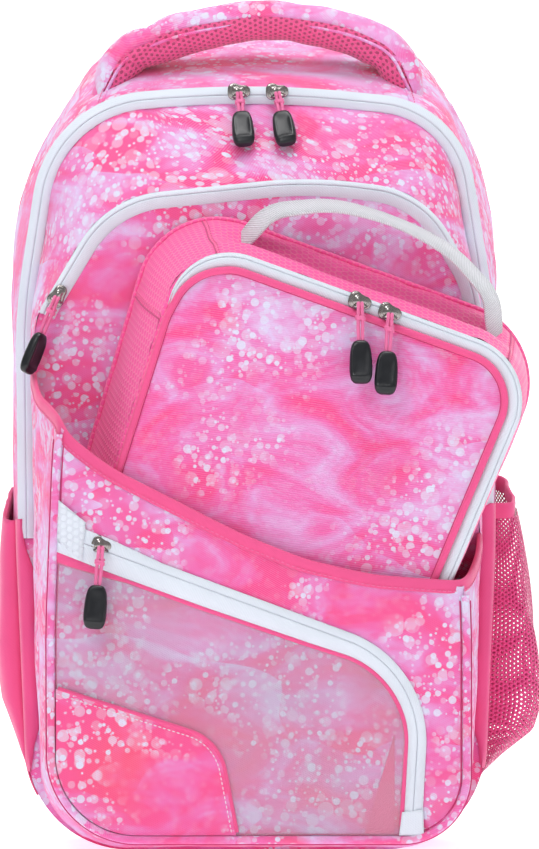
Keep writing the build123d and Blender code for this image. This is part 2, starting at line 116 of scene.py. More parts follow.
def line(points, radii, closed=False, spacing=4.0, counts=None):
    """Points along straight runs and tangent arcs, and how many steps each arc and run got."""
    points = [np.array(p[:2], float) for p in points]
    n = len(points)
    arcs = []
    for i, here in enumerate(points):
        if not closed and i in (0, n - 1):
            arcs.append((here, here, here, 0.0))
            continue
        into, out = unit(here - points[i - 1]), unit(points[(i + 1) % n] - here)
        turn = math.atan2(into[0] * out[1] - into[1] * out[0], into @ out)
        radius = radii[i] if closed else radii[i - 1]
        reach = radius * math.tan(abs(turn) / 2)
        centre = here - into * reach + np.array([-into[1], into[0]]) * math.copysign(radius, turn)
        arcs.append((here - into * reach, centre, here + out * reach, turn))
    made, used = [], []
    for i, (start, centre, end, turn) in enumerate(arcs):
        last = i == n - 1
        follow = arcs[(i + 1) % n][0]
        run = 0.0 if last and not closed else np.linalg.norm(follow - end)
        bend = abs(turn) * np.linalg.norm(start - centre)
        steps = (max(1, round(bend / spacing), math.ceil(abs(turn) / 0.12)), max(1, round(run / spacing)))
        if counts:
            steps = counts[i]
        used.append(steps)
        for k in range(steps[0] if turn else 1):
            angle = turn * k / steps[0]
            arm = start - centre
            c, s = math.cos(angle), math.sin(angle)
            made.append(centre + np.array([c * arm[0] - s * arm[1], s * arm[0] + c * arm[1]]))
        if run:
            made += [end + (follow - end) * k / steps[1] for k in range(1 if not turn else 0, steps[1])]
    return np.array(made), used


def outline(corners, spacing=4.0, counts=None):
    return line(corners, [c[2] for c in corners], True, spacing, counts)


def inset(corners, amount):
    """The same outline with every edge moved inwards by amount, outwards if it is negative."""
    moved = []
    for i, (x, z, radius) in enumerate(corners):
        here = np.array([x, z], float)
        into = unit(here - np.array(corners[i - 1][:2]))
        out = unit(np.array(corners[(i + 1) % len(corners)][:2]) - here)
        side = np.array([into[1] + out[1], -into[0] - out[0]])
        corner = here + side * (amount / (1 + into @ out))
        moved.append((corner[0], corner[1], max(radius - amount, 1.0)))
    return moved


def tangents(points, closed=False):
    if closed:
        ahead, behind = np.roll(points, -1, 0), np.roll(points, 1, 0)
    else:
        ahead, behind = np.vstack([points[1:], points[-1:]]), np.vstack([points[:1], points[:-1]])
    step = ahead - behind
    return step / np.linalg.norm(step, axis=1)[:, None]


def sideways(points, closed=False):
    """Unit normals of a flat line, to the left of its direction, which is outwards on a clockwise outline."""
    t = tangents(points, closed)
    return np.stack([-t[:, 1], t[:, 0]], 1)


def lengths(points, closed=False):
    steps = np.linalg.norm(np.diff(np.vstack([points, points[:1]]) if closed else points, axis=0), axis=1)
    return np.concatenate([[0], np.cumsum(steps)])


def resample(points, spacing):
    along = lengths(points)
    wanted = np.linspace(0, along[-1], max(2, round(along[-1] / spacing) + 1))
    return np.stack([np.interp(wanted, along, points[:, k]) for k in range(points.shape[1])], 1)


def ripple(points, size, seed):
    """Smooth uneven hills between about -1 and 1, about size apart."""
    rng = np.random.default_rng(seed)
    waves = rng.normal(size=(9, points.shape[-1]))
    waves /= np.linalg.norm(waves, axis=1)[:, None]
    waves *= (2 * np.pi / size / rng.uniform(0.6, 1.6, 9))[:, None]
    return np.sin(points @ waves.T + rng.uniform(0, 2 * np.pi, 9)).mean(-1) * 2.2


def pack_plane(flat, y):
    flat = np.asarray(flat, float)
    return np.stack([flat[..., 0], np.broadcast_to(y, flat.shape[:-1]), flat[..., 1]], -1)


def lunch_plane(flat, y):
    flat = np.asarray(flat, float)
    c, s = math.cos(LUNCH_TURN), math.sin(LUNCH_TURN)
    x = LUNCH_X + flat[..., 0] * c + flat[..., 1] * s
    z = LUNCH_Z - flat[..., 0] * s + flat[..., 1] * c
    return np.stack([x, np.broadcast_to(y, flat.shape[:-1]), z], -1)


# ---- Meshes ----
def piece(name, points, faces, uvs, material, body, slot, replaces=()):
    """A mesh piece in metres; uvs holds one (u, v) in metres for each face corner."""
    mesh = bpy.data.meshes.new(name)
    mesh.from_pydata((np.asarray(points) * MM).tolist(), [], [list(map(int, f)) for f in faces])
    layer = mesh.uv_layers.new(name="UVMap")
    layer.data.foreach_set("uv", (np.asarray(uvs, float) * MM).ravel())
    mesh.polygons.foreach_set("use_smooth", [True] * len(mesh.polygons))
    made = bpy.data.objects.new(name, mesh)
    bpy.context.scene.collection.objects.link(made)
    mesh.materials.append(material)
    mesh.update()
    if body:
        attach(made, body)
    if replaces:
        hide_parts(*([replaces] if isinstance(replaces, str) else replaces))
    return made


def grid_faces(rows, cols, closed=False):
    r, c = np.meshgrid(np.arange(rows - 1), np.arange(cols if closed else cols - 1), indexing="ij")
    r, c = r.ravel(), c.ravel()
    d = (c + 1) % cols
    return np.stack([r * cols + c, r * cols + d, (r + 1) * cols + d, (r + 1) * cols + c], 1)


def grid_uvs(rows, cols, u, v, closed=False):
    """Corner UVs for grid_faces: u for each column, with one more where it closes, and v for each row."""
    r, c = np.meshgrid(np.arange(rows - 1), np.arange(cols if closed else cols - 1), indexing="ij")
    r, c = r.ravel(), c.ravel()
    corners = [(u[c], v[r]), (u[c + 1], v[r]), (u[c + 1], v[r + 1]), (u[c], v[r + 1])]
    return np.stack([np.stack(k, 1) for k in corners], 1).reshape(-1, 2)


def surface(name, points, material, body, slot, replaces=(), closed=False, keep=None, flat=None, thick=0.0,
            outward=1.0):
    """A piece over rows x columns of points.

    keep picks faces by their middles, and flat gives UVs from points."""
    rows, cols = points.shape[:2]
    u = lengths(points[rows // 2], closed)
    v = lengths(points[:, cols // 2])
    faces = grid_faces(rows, cols, closed)
    uvs = grid_uvs(rows, cols, u, v, closed).reshape(-1, 4, 2)
    every = points.reshape(-1, 3)
    if flat is not None:
        uvs = flat(every)[faces]
    if keep is not None:
        wanted = keep(every[faces].mean(1))
        faces, uvs = faces[wanted], uvs[wanted]
    used, renumbered = np.unique(faces, return_inverse=True)
    faces = renumbered.reshape(faces.shape)
    made = piece(name, every[used], faces, uvs.reshape(-1, 2), material, body, slot, replaces)
    if thick:
        solid = made.modifiers.new("Thickness", "SOLIDIFY")
        solid.thickness = thick * MM
        solid.offset = outward
    return made


def cut(made, point, normal):
    """Removes what lies on the normal's side of a plane, in millimetres."""
    work = bmesh.new()
    work.from_mesh(made.data)
    every = work.verts[:] + work.edges[:] + work.faces[:]
    bmesh.ops.bisect_plane(work, geom=every, plane_co=Vector(point) * MM, plane_no=Vector(normal),
                           clear_outer=True)
    work.to_mesh(made.data)
    work.free()


def frames(points, closed=False, up=None):
    """Tangent, side and up vectors along a 3-D line; up is carried along smoothly unless it is given."""
    t = tangents(points, closed)
    if up is None:
        hint = np.array([0.0, 1.0, 0.0]) if abs(t[0][1]) < 0.8 else np.array([0.0, 0.0, 1.0])
        ups = []
        for k in t:
            hint = unit(hint - k * (hint @ k))
            ups.append(hint)
        up = np.array(ups)
    else:
        up = np.broadcast_to(np.asarray(up, float), points.shape)
        up = up - t * (up * t).sum(1)[:, None]
        up = up / np.linalg.norm(up, axis=1)[:, None]
    return t, np.cross(t, up), up


def sweep(points, profile, closed=False, up=None, scale=None):
    """Rows of points: the profile, as (side, up) pairs, carried along a line."""
    _, side, up = frames(points, closed, up)
    profile = np.asarray(profile, float)
    size = np.ones(len(points)) if scale is None else np.asarray(scale)
    return (points[:, None] + side[:, None] * (profile[:, 0][None] * size[:, None])[..., None]
            + up[:, None] * (profile[:, 1][None] * size[:, None])[..., None])


def ring_profile(wide, high, power=2.0, sides=12):
    a = np.arange(sides) * 2 * np.pi / sides
    c, s = np.cos(a), np.sin(a)
    bend = 2.0 / power
    return np.stack([wide * np.sign(c) * abs(c) ** bend, high * np.sign(s) * abs(s) ** bend], 1)


def tube(name, points, radius, material, body, slot, replaces=(), closed=False, sides=10):
    rows = sweep(points, ring_profile(radius, radius, sides=sides), closed)
    if closed:
        rows = np.concatenate([rows, rows[:1]])
    return surface(name, rows, material, body, slot, replaces, closed=True)


def ribbon(half):
    """Closed section of a flat webbing, as (across, up) pairs."""
    edge = half - 0.2
    return [(-half, 0), (-edge, 0.8), (edge, 0.8), (half, 0), (edge, -0.8), (-edge, -0.8), (-half, 0)]


def merge(groups):
    """Several (points, faces, uvs) as one."""
    points, faces, uvs, base = [], [], [], 0
    for p, f, w in groups:
        points.append(p)
        faces += [[i + base for i in one] for one in f]
        uvs.append(w)
        base += len(p)
    return np.concatenate(points), faces, np.concatenate(uvs)


def stitches(lines, pitch=3.0, size=2.1, radius=0.3, lift=0.15):
    """Thread stitches along lines, each (points, outward normals or one normal), as (points, faces, uvs)."""
    groups = []
    for points, normal in lines:
        along = lengths(points)
        count = max(1, int(along[-1] / pitch))
        mid = (np.arange(count) + 0.5) * along[-1] / count
        at = np.stack([np.interp(mid, along, points[:, k]) for k in range(3)], 1)
        t = np.stack([np.interp(mid, along, tangents(points)[:, k]) for k in range(3)], 1)
        t /= np.linalg.norm(t, axis=1)[:, None]
        n = np.broadcast_to(np.asarray(normal, float), points.shape)
        n = np.stack([np.interp(mid, along, n[:, k]) for k in range(3)], 1)
        n -= t * (n * t).sum(1)[:, None]
        n /= np.linalg.norm(n, axis=1)[:, None]
        side = np.cross(t, n)
        shape = [(-0.5, 0, -1.0)]
        shape += [(k, math.cos(a), math.sin(a)) for k in (-0.33, 0.33) for a in np.arange(5) * 2 * np.pi / 5]
        shape += [(0.5, 0, -1.0)]
        shape = np.array(shape)
        every = (at[:, None] + t[:, None] * (shape[:, 0] * size)[None, :, None]
                 + side[:, None] * (shape[:, 1] * radius)[None, :, None]
                 + n[:, None] * (shape[:, 2] * radius + lift)[None, :, None])
        one = [[0, 1 + (k + 1) % 5, 1 + k] for k in range(5)]
        one += [[1 + k, 1 + (k + 1) % 5, 6 + (k + 1) % 5, 6 + k] for k in range(5)]
        one += [[11, 6 + k, 6 + (k + 1) % 5] for k in range(5)]
        faces = [[i + 12 * s for i in f] for s in range(count) for f in one]
        groups.append((every.reshape(-1, 3), faces, np.zeros((sum(map(len, faces)), 2))))
    return merge(groups)


# ---- Materials ----
class Nodes:
    """Builds a material's nodes with short calls."""

    def __init__(self, name):
        self.material = bpy.data.materials.new(name)
        self.material.use_nodes = True
        self.tree = self.material.node_tree
        self.shader = self.tree.nodes["Principled BSDF"]
        self.coordinates = self.tree.nodes.new("ShaderNodeTexCoord")
        self.uv = self.coordinates.outputs["UV"]
        self.place = self.coordinates.outputs["Object"]

    def set(self, node, key, value):
        if value is None:
            return
        socket = node.inputs[key]
        if isinstance(value, bpy.types.NodeSocket):
            self.tree.links.new(value, socket)
        else:
            socket.default_value = value

    def math(self, operation, a, b=None, c=None, clamp=False):
        node = self.tree.nodes.new("ShaderNodeMath")
        node.operation = operation
        node.use_clamp = clamp
        for i, value in enumerate((a, b, c)):
            self.set(node, i, value)
        return node.outputs[0]

    def dot(self, vector, direction):
        node = self.tree.nodes.new("ShaderNodeVectorMath")
        node.operation = "DOT_PRODUCT"
        self.set(node, 0, vector)
        node.inputs[1].default_value = direction
        return node.outputs["Value"]

    def noise(self, scale, detail=3.0, roughness=0.5, distortion=0.0, where=None):
        node = self.tree.nodes.new("ShaderNodeTexNoise")
        self.set(node, "Vector", where or self.place)
        for key, value in (("Scale", scale), ("Detail", detail), ("Roughness", roughness),
                           ("Distortion", distortion)):
            node.inputs[key].default_value = value
        return node.outputs["Fac"]

    def stretch(self, scale):
        node = self.tree.nodes.new("ShaderNodeVectorMath")
        node.operation = "MULTIPLY"
        self.set(node, 0, self.place)
        node.inputs[1].default_value = scale
        return node.outputs[0]

    def voronoi(self, scale):
        """Distance to the middle of the nearest cell on the cloth, in cells, and the cell's random colour."""
        node = self.tree.nodes.new("ShaderNodeTexVoronoi")
        node.voronoi_dimensions = "2D"
        self.set(node, "Vector", self.uv)
        node.inputs["Scale"].default_value = scale
        return node.outputs["Distance"], node.outputs["Color"]

    def fit(self, value, low, high, to_low=0.0, to_high=1.0, smooth=False):
        node = self.tree.nodes.new("ShaderNodeMapRange")
        node.interpolation_type = "SMOOTHSTEP" if smooth else "LINEAR"
        for i, v in enumerate((value, low, high, to_low, to_high)):
            self.set(node, i, v)
        return node.outputs[0]

    def mix(self, factor, a, b):
        node = self.tree.nodes.new("ShaderNodeMix")
        node.data_type = "RGBA"
        self.set(node, 0, factor)
        self.set(node, 6, a if isinstance(a, bpy.types.NodeSocket) else (*a, 1))
        self.set(node, 7, b if isinstance(b, bpy.types.NodeSocket) else (*b, 1))
        return node.outputs[2]

    def ramp(self, value, stops):
        node = self.tree.nodes.new("ShaderNodeValToRGB")
        self.set(node, 0, value)
        marks = node.color_ramp.elements
        while len(marks) < len(stops):
            marks.new(0.5)
        for mark, (position, colour) in zip(marks, stops):
            mark.position = position
            mark.color = (*colour, 1)
        return node.outputs[0]

    def waves(self, pitch, direction):
        """A sine from 0 to 1 across direction, pitch millimetres apart."""
        d = unit([*direction, 0]) * (2 * math.pi / (pitch * MM))
        return self.fit(self.math("SINE", self.dot(self.uv, d)), -1.0, 1.0)

    def hexes(self, pitch):
        """Round peaks in a honeycomb, pitch millimetres apart: about -1.5 on the lines, 3 at the middles."""
        k = 4 * math.pi / (math.sqrt(3) * pitch * MM)
        total = None
        for angle in (0.0, math.pi / 3, 2 * math.pi / 3):
            direction = (k * math.cos(angle), k * math.sin(angle), 0)
            one = self.math("COSINE", self.dot(self.uv, direction))
            total = one if total is None else self.math("ADD", total, one)
        return total

    def bump(self, height, distance, strength=1.0, after=None):
        node = self.tree.nodes.new("ShaderNodeBump")
        self.set(node, "Height", height)
        node.inputs["Distance"].default_value = distance * MM
        node.inputs["Strength"].default_value = strength
        self.set(node, "Normal", after)
        return node.outputs[0]

    def finish(self, colour, roughness, normal=None, **fixed):
        plain = not isinstance(colour, bpy.types.NodeSocket)
        self.set(self.shader, "Base Color", (*colour, 1) if plain else colour)
        self.set(self.shader, "Roughness", roughness)
        self.set(self.shader, "Normal", normal)
        for key, value in fixed.items():
            self.shader.inputs[key.replace("_", " ")].default_value = value
        return self.material


HOT = (0.88, 0.020, 0.23)
PINK = (0.83, 0.085, 0.39)
ORCHID = (0.77, 0.25, 0.60)
LILAC = (0.71, 0.51, 0.81)
CORAL = (0.90, 0.032, 0.10)
DROP = (0.69, 0.71, 0.88)
# Layers of drops: cells a metre, largest radius in cells, strength, share of the cells that hold one
DROPS = ((52.0, 0.36, 0.38, 0.5), (78.0, 0.36, 0.45, 0.75), (96.0, 0.36, 0.62, 0.7),
         (128.0, 0.36, 0.95, 0.62), (190.0, 0.38, 1.0, 0.55), (300.0, 0.36, 0.9, 0.4))


def twill(n, pitch, direction, depth):
    """Slanting rows crossed by fine threads: a height from 0 to 1 and its bump."""
    rows = n.waves(pitch, direction)
    threads = n.waves(pitch * 0.62, (direction[1], -direction[0]))
    height = n.math("MULTIPLY_ADD", rows, 0.7, n.math("MULTIPLY", threads, 0.3))
    return height, n.bump(height, depth)


def print_material(name, red=0.0, slant=(0.5, 0.87)):
    """Marbled pink print with pale round drops in clusters."""
    n = Nodes(name)
    wide = n.stretch((0.6, 0.8, 1.1))
    folds = n.math("MULTIPLY_ADD", n.noise(11.0, 2.0, 0.4, 0.5, wide), 2.6, n.dot(n.place, (3.0, 6.0, 13.0)))
    strength = n.fit(n.noise(15.0, 1.0), 0.40, 0.62, 0.05, 0.50, smooth=True)
    steps = n.math("MULTIPLY", n.math("SUBTRACT", n.math("FRACT", folds), 0.4), strength)
    cloud = n.noise(30.0, 4.0, 0.6, 0.9, wide)
    tone = n.math("MULTIPLY_ADD", cloud, 2.5, n.math("ADD", steps, -0.88 - red), clamp=True)
    colour = n.ramp(tone, [(0.05, HOT), (0.35, PINK), (0.62, ORCHID), (0.95, LILAC)])
    warm = n.fit(n.noise(6.5, 2.0, 0.5, 0.4), 0.62 - red, 0.74 - red * 0.8, smooth=True)
    warm = n.math("MULTIPLY", warm, n.fit(tone, 0.8, 0.35))
    colour = n.mix(n.math("MULTIPLY", warm, 0.85), colour, CORAL)
    cluster = n.fit(n.noise(15.0, 2.5, 0.55, 0.3), 0.42, 0.54, 0.08, 1.0, smooth=True)
    for scale, size, strength, share in DROPS:
        distance, cell = n.voronoi(scale)
        reach = n.math("MULTIPLY_ADD", n.dot(cell, (1.0, 0.0, 0.0)), size * 0.6, size * 0.4)
        chosen = n.fit(n.dot(cell, (0.0, 1.0, 0.0)), 1.0 - share, 1.05 - share)
        fade = n.fit(n.dot(cell, (0.0, 0.0, 1.0)), 0.0, 1.0, 0.4 * strength, strength)
        inside = n.fit(n.math("SUBTRACT", reach, distance), 0.0, 0.0005 * scale, smooth=True)
        amount = n.math("MULTIPLY", n.math("MULTIPLY", inside, chosen), n.math("MULTIPLY", cluster, fade))
        colour = n.mix(amount, colour, DROP)
    height, bump = twill(n, 1.0, slant, 0.12)
    fine = n.noise(900.0, 2.0)
    colour = n.mix(n.math("MULTIPLY", height, 0.2), colour, (0.86, 0.80, 0.90))
    colour = n.mix(n.fit(fine, 0.3, 0.7, 0.0, 0.05), colour, (0.35, 0.01, 0.12))
    return n.finish(colour, n.fit(fine, 0.2, 0.8, 0.68, 0.82), bump, Sheen_Weight=0.18, Sheen_Roughness=0.5,
                    Specular_IOR_Level=0.28)


def plain_material(name, colour, pitch=0.8, depth=0.1):
    n = Nodes(name)
    height, bump = twill(n, pitch, (0.4, 0.92), depth)
    shade = n.fit(n.noise(16.0, 3.0), 0.35, 0.7)
    low = tuple(0.72 * c for c in colour)
    base = n.mix(n.math("MULTIPLY_ADD", shade, 0.35, n.math("MULTIPLY", height, 0.25)), colour, low)
    return n.finish(base, n.fit(height, 0.0, 1.0, 0.74, 0.6), bump, Sheen_Weight=0.25, Sheen_Roughness=0.5,
                    Specular_IOR_Level=0.3)


def ripstop_material(name, colour, line_colour):
    n = Nodes(name)
    field = n.hexes(3.9)
    lines = n.fit(field, -0.1, -1.25, smooth=True)
    threads = n.waves(0.45, (1, 0))
    shade = n.fit(n.noise(14.0, 2.0), 0.3, 0.7, 0.0, 0.22)
    base = n.mix(shade, colour, tuple(0.8 * c for c in colour))
    base = n.mix(n.math("MULTIPLY", lines, 0.65), base, line_colour)
    bump = n.bump(threads, 0.015, after=n.bump(lines, 0.3))
    return n.finish(base, n.fit(lines, 0.0, 1.0, 0.5, 0.4), bump, Sheen_Weight=0.1, Specular_IOR_Level=0.25)


def spacer_material(name, colour):
    """Thick knitted mesh with small round wells, darkened with painted shade."""
    n = Nodes(name)
    field = n.hexes(3.1)
    well = n.fit(field, 0.2, 1.5, smooth=True)
    yarn = n.noise(1600.0, 2.0)
    base = n.mix(n.fit(yarn, 0.3, 0.7), colour, tuple(0.8 * c for c in colour))
    # Painted shade: the wells blended towards a much darker pink.
    base = n.mix(n.math("MULTIPLY", well, 0.8), base, tuple(0.42 * c for c in colour))
    height = n.math("MULTIPLY_ADD", yarn, 0.15, n.math("SUBTRACT", 1.0, well))
    return n.finish(base, 0.85, n.bump(height, 0.9), Sheen_Weight=0.3, Specular_IOR_Level=0.2)


def net_material(name, colour):
    """Open knitted net: yarn between round holes that are really open."""
    n = Nodes(name)
    field = n.hexes(2.7)
    hole = n.fit(field, 1.05, 1.45)
    yarn = n.noise(1500.0, 2.0)
    base = n.mix(n.fit(yarn, 0.3, 0.7), colour, tuple(0.68 * c for c in colour))
    made = n.finish(base, 0.7, n.bump(n.fit(field, 0.6, -1.4), 0.5), Sheen_Weight=0.3)
    n.set(n.shader, "Alpha", n.math("SUBTRACT", 1.0, hole))
    return made


def tape_material(name, colour):
    """Woven tape: ribs along it, with a slanted thread on each side."""
    n = Nodes(name)
    ribs = n.waves(0.9, (1, 0))
    slant = n.waves(1.1, (0.6, 0.8))
    height = n.math("MULTIPLY_ADD", slant, 0.6, n.math("MULTIPLY", ribs, 0.4))
    shade = n.fit(n.noise(40.0, 2.0), 0.3, 0.7, 0.0, 0.25)
    low = tuple(0.82 * c for c in colour)
    base = n.mix(n.math("MULTIPLY_ADD", height, 0.35, shade), colour, low)
    return n.finish(base, 0.72, n.bump(height, 0.12), Sheen_Weight=0.15, Specular_IOR_Level=0.3)


def grosgrain_material(name, colour, pitch=1.3):
    """Ribbed webbing, its ribs across its length, with painted shade in the grooves between the ribs."""
    n = Nodes(name)
    ribs = n.waves(pitch, (0.32, 1))
    threads = n.waves(0.55, (1, 0))
    height = n.math("MULTIPLY_ADD", threads, 0.25, ribs)
    low = tuple(0.62 * c for c in colour)
    # Painted shade: darker in the grooves between the ribs.
    base = n.mix(n.fit(height, 0.0, 0.9, 0.7, 0.0), colour, low)
    return n.finish(base, 0.7, n.bump(height, 0.5), Sheen_Weight=0.1, Specular_IOR_Level=0.3)


def film_material(name):
    """Clear soft vinyl, a little foggy and wavy."""
    n = Nodes(name)
    fog = n.noise(18.0, 3.0)
    wave = n.noise(24.0, 1.0, 0.3)
    made = n.finish((0.54, 0.48, 0.56), n.fit(fog, 0.3, 0.7, 0.10, 0.22), n.bump(wave, 1.2, 0.5),
                    IOR=1.5, Coat_Weight=0.25, Coat_Roughness=0.05)
    n.set(n.shader, "Alpha", n.fit(fog, 0.3, 0.7, 0.24, 0.40))
    return made


def metal_material(name):
    n = Nodes(name)
    brushed = n.noise(260.0, 2.0)
    # Painted shade: the colour darkens to near black where the surface turns away from the camera.
    edge = n.tree.nodes.new("ShaderNodeLayerWeight")
    edge.inputs["Blend"].default_value = 0.45
    base = n.mix(edge.outputs["Facing"], (0.38, 0.35, 0.34), (0.05, 0.04, 0.04))
    base = n.mix(n.fit(brushed, 0.4, 0.7, 0.0, 0.35), base, (0.20, 0.18, 0.17))
    return n.finish(base, n.fit(brushed, 0.3, 0.7, 0.14, 0.24), n.bump(brushed, 0.01), Metallic=1.0)


def rubber_material(name, colour, rough=(0.38, 0.52)):
    n = Nodes(name)
    grain = n.noise(1100.0, 3.0)
    smudge = n.noise(120.0, 2.0)
    base = n.mix(n.fit(smudge, 0.4, 0.7, 0.0, 0.5), colour, tuple(c * 1.5 + 0.001 for c in colour))
    return n.finish(base, n.fit(smudge, 0.3, 0.7, *rough), n.bump(grain, 0.04), Specular_IOR_Level=0.45)


def cord_material(name, colour):
    """Round braid, with painted shade in the grooves between its strands."""
    n = Nodes(name)
    one = n.waves(0.9, (0.7, 0.7))
    two = n.waves(0.9, (0.7, -0.7))
    height = n.math("MAXIMUM", one, two)
    # Painted shade: the grooves between strands darker, the raised strands at full colour.
    base = n.mix(height, tuple(0.62 * c for c in colour), colour)
    return n.finish(base, 0.6, n.bump(height, 0.15), Sheen_Weight=0.2)


PLAIN = (0.88, 0.095, 0.29)
WHITE = (0.73, 0.79, 0.88)
PRINT = print_material("print")
PRINT_LUNCH = print_material("print_lunch", red=-0.04, slant=(-0.45, 0.89))
PRINT_PATCH = print_material("print_patch", red=0.13)
FABRIC_PINK = plain_material("plain_pink", PLAIN)
RIPSTOP = ripstop_material("ripstop_pink", (0.95, 0.11, 0.37), (0.97, 0.23, 0.42))
RIPSTOP_WHITE = ripstop_material("ripstop_white", (0.74, 0.79, 0.88), (0.66, 0.70, 0.80))
SPACER = spacer_material("spacer_mesh", (0.95, 0.13, 0.34))
NET = net_material("net", (0.95, 0.06, 0.29))
TAPE_WHITE = tape_material("tape_white", WHITE)
# Painted shade: the zip coil's grey, darker than the tape, stands for the shade in the groove between the
# tape halves.
COIL_WITH_GROOVE_SHADE = plain_material("zip_coil_groove_shade", (0.60, 0.61, 0.70), 0.9, 0.2)
# Painted shade: dark pink for the shade in seam grooves and beside piping.
SEAM_PAINTED_SHADE = plain_material("seam_painted_shade", (0.66, 0.045, 0.21), 0.6)
WEB_WHITE = grosgrain_material("webbing_white", (0.90, 0.91, 0.97))
WEB_PINK = grosgrain_material("webbing_pink", PLAIN, 1.1)
FILM = film_material("clear_film")
NICKEL = metal_material("nickel")
RUBBER = rubber_material("grip_rubber", (0.006, 0.007, 0.010), (0.28, 0.42))
BUCKLE = rubber_material("buckle_plastic", (0.02, 0.02, 0.022), (0.42, 0.6))
CORD = cord_material("cord", (0.93, 0.18, 0.42))
THREAD_PINK = plain_material("thread_pink", (0.88, 0.16, 0.38), 0.4)
THREAD_WHITE = plain_material("thread_white", (0.85, 0.80, 0.86), 0.4)


# ---- Main compartment ----
def gusset_rows(near, near_y, far, far_y, rows, bulge, seed, plane=pack_plane, crease=0.8):
    """Rows from one outline to another, arched outwards, with creases and puckers along both seams."""
    counts = [tuple(map(max, *both)) for both in zip(outline(near)[1], outline(far)[1])]
    a, _ = outline(near, counts=counts)
    b, _ = outline(far, counts=counts)
    out = sideways(a, True)
    along = lengths(a, True)[:-1]
    made = []
    for t in np.linspace(0, 1, rows):
        flat = a + (b - a) * t
        y = near_y + (far_y - near_y) * t
        at = plane(flat, y)
        seam = math.exp(-min(t, 1 - t) * abs(far_y - near_y) / 9)
        shift = bulge * math.sin(math.pi * t) ** 0.7 + crease * ripple(at, 55, seed) * math.sin(math.pi * t)
        shift += 0.45 * seam * ripple(np.stack([along, along * 0 + t * 7], 1), 17, seed + 1)
        made.append(plane(flat + out * shift[:, None], y))
    return np.array(made)


def main_compartment():
    rows = gusset_rows(MAIN, MAIN_Y, BACK, BACK_Y - 1, 26, 1.6, 3)
    rows[..., 2] = np.maximum(rows[..., 2], 0.1)

    def top(m):
        return (abs(m[:, 0]) < TOP_SEAM_X) & (m[:, 2] > TOP_SEAM_Z)

    def base(m):
        return (abs(m[:, 0]) < BASE_SEAM_X) & (m[:, 2] < BASE_SEAM_Z)

    surface("main_top", rows, PRINT, "pack", "print_fabric", "main_top_gusset", True, top)
    for name, sign in (("left", -1), ("right", 1)):
        surface(f"main_{name}_side", rows, PRINT, "pack", "print_fabric", f"main_{name}_gusset", True,
                lambda m: ~top(m) & ~base(m) & (m[:, 0] * sign > 0))
        top_half = rows[..., 2] > TOP_SEAM_Z
        column = int(np.argmin(abs(rows[0, :, 0] - sign * TOP_SEAM_X) + 999 * ~top_half[0]))
        line_3d = rows[:, column] + np.array([0, 0, 0.2])
        seam(f"main_top_seam_{name}", line_3d, "pack", 0.9, PRINT)
        sewn = line_3d + np.array([sign * 2.4, 0, 0.1])
        sew(f"main_top_stitches_{name}", [(sewn, (sign * 0.5, 0, 0.87))], "pack")
    surface("base", rows, FABRIC_PINK, "pack", "plain_fabric", "base_panel", True, base)


def disc(flat, y, depth, rows=16, plane=pack_plane, puff=14.0, crease=0.0, seed=0):
    """Rows from an outline to its middle, raised towards the front by depth with rounded shoulders."""
    middle = flat.mean(0)
    made = []
    for t in np.linspace(0, 1, rows) ** 1.35:
        inner = flat + (middle - flat) * min(t, 0.999)
        d = np.linalg.norm(flat - middle, axis=1) * t
        rise = depth * (1 - np.exp(-d / puff))
        at = plane(inner, y)
        rise = rise + crease * ripple(at, 60, seed) * (1 - np.exp(-d / 20))
        made.append(plane(inner, y - rise))
    return np.array(made)


def flat_uv(points):
    return points[:, [0, 2]]


def lunch_uv(points):
    c, s = math.cos(LUNCH_TURN), math.sin(LUNCH_TURN)
    x, z = points[:, 0] - LUNCH_X, points[:, 2] - LUNCH_Z
    return np.stack([x * c - z * s, x * s + z * c], 1)


def zip_tape(name, flat, ground, inner, outer, body, node, plane=pack_plane):
    """Two woven tape halves that meet over a hidden coil, which shows only as a ribbed line, grey with
    painted shade of the groove.

    flat is the coil's line, inner and outer are how far the tape reaches to each side of it, as numbers or
    one for each point, and ground gives the depth of what it is sewn to."""
    out = sideways(flat)
    one = np.ones(len(flat))
    section = [(-inner, 0.1), (0.5 - inner, 0.9), (-2.6, 1.15), (-0.9, 1.7), (-0.3, 1.55), (-0.12, 0.9),
               (0.12, 0.9), (0.3, 1.55), (0.9, 1.7), (2.0, 1.15), (outer - 0.5, 0.9), (outer, 0.1)]
    rows = []
    for across, up in section:
        reach = np.clip(across * one, -inner * one, outer * one)
        edge = flat + out * reach[:, None]
        rows.append(plane(edge, ground(edge) - up * np.minimum(1.0, (inner + outer) * one / 5)))
    surface(name, np.array(rows), TAPE_WHITE, body, "zip_tape", node)
    wide = flat[(inner + outer) * one > 4]
    mid = resample(plane(wide, ground(wide) - 1.02), 0.5)
    ribs = 0.22 + 0.13 * np.sin(np.arange(len(mid)) * np.pi / 1.3)
    # A real ribbed coil, its grey colour painted shade in the groove between the tape halves.
    coil = sweep(mid, ring_profile(1.0, 1.0, sides=6), False, (0, 1, 0), ribs)
    surface(name + "_coil", coil, COIL_WITH_GROOVE_SHADE, body, "zip_tape", (), True)


def level(y):
    """The depth of a flat face, as a function of the place on it."""
    return lambda flat: np.full(len(flat), y)


def seam(name, points, body, radius=0.45, material=None):
    """A sunken seam line; its dark default colour is painted shade in the seam's groove."""
    path = resample(np.asarray(points), 3.0)
    tube(name, path, radius, material or SEAM_PAINTED_SHADE, body, "plain_fabric", sides=6)


def sew(name, lines, body):
    """Pink thread stitches along lines, each (points, outward normals or one normal)."""
    piece(name, *stitches(lines), THREAD_PINK, body, "plain_fabric")


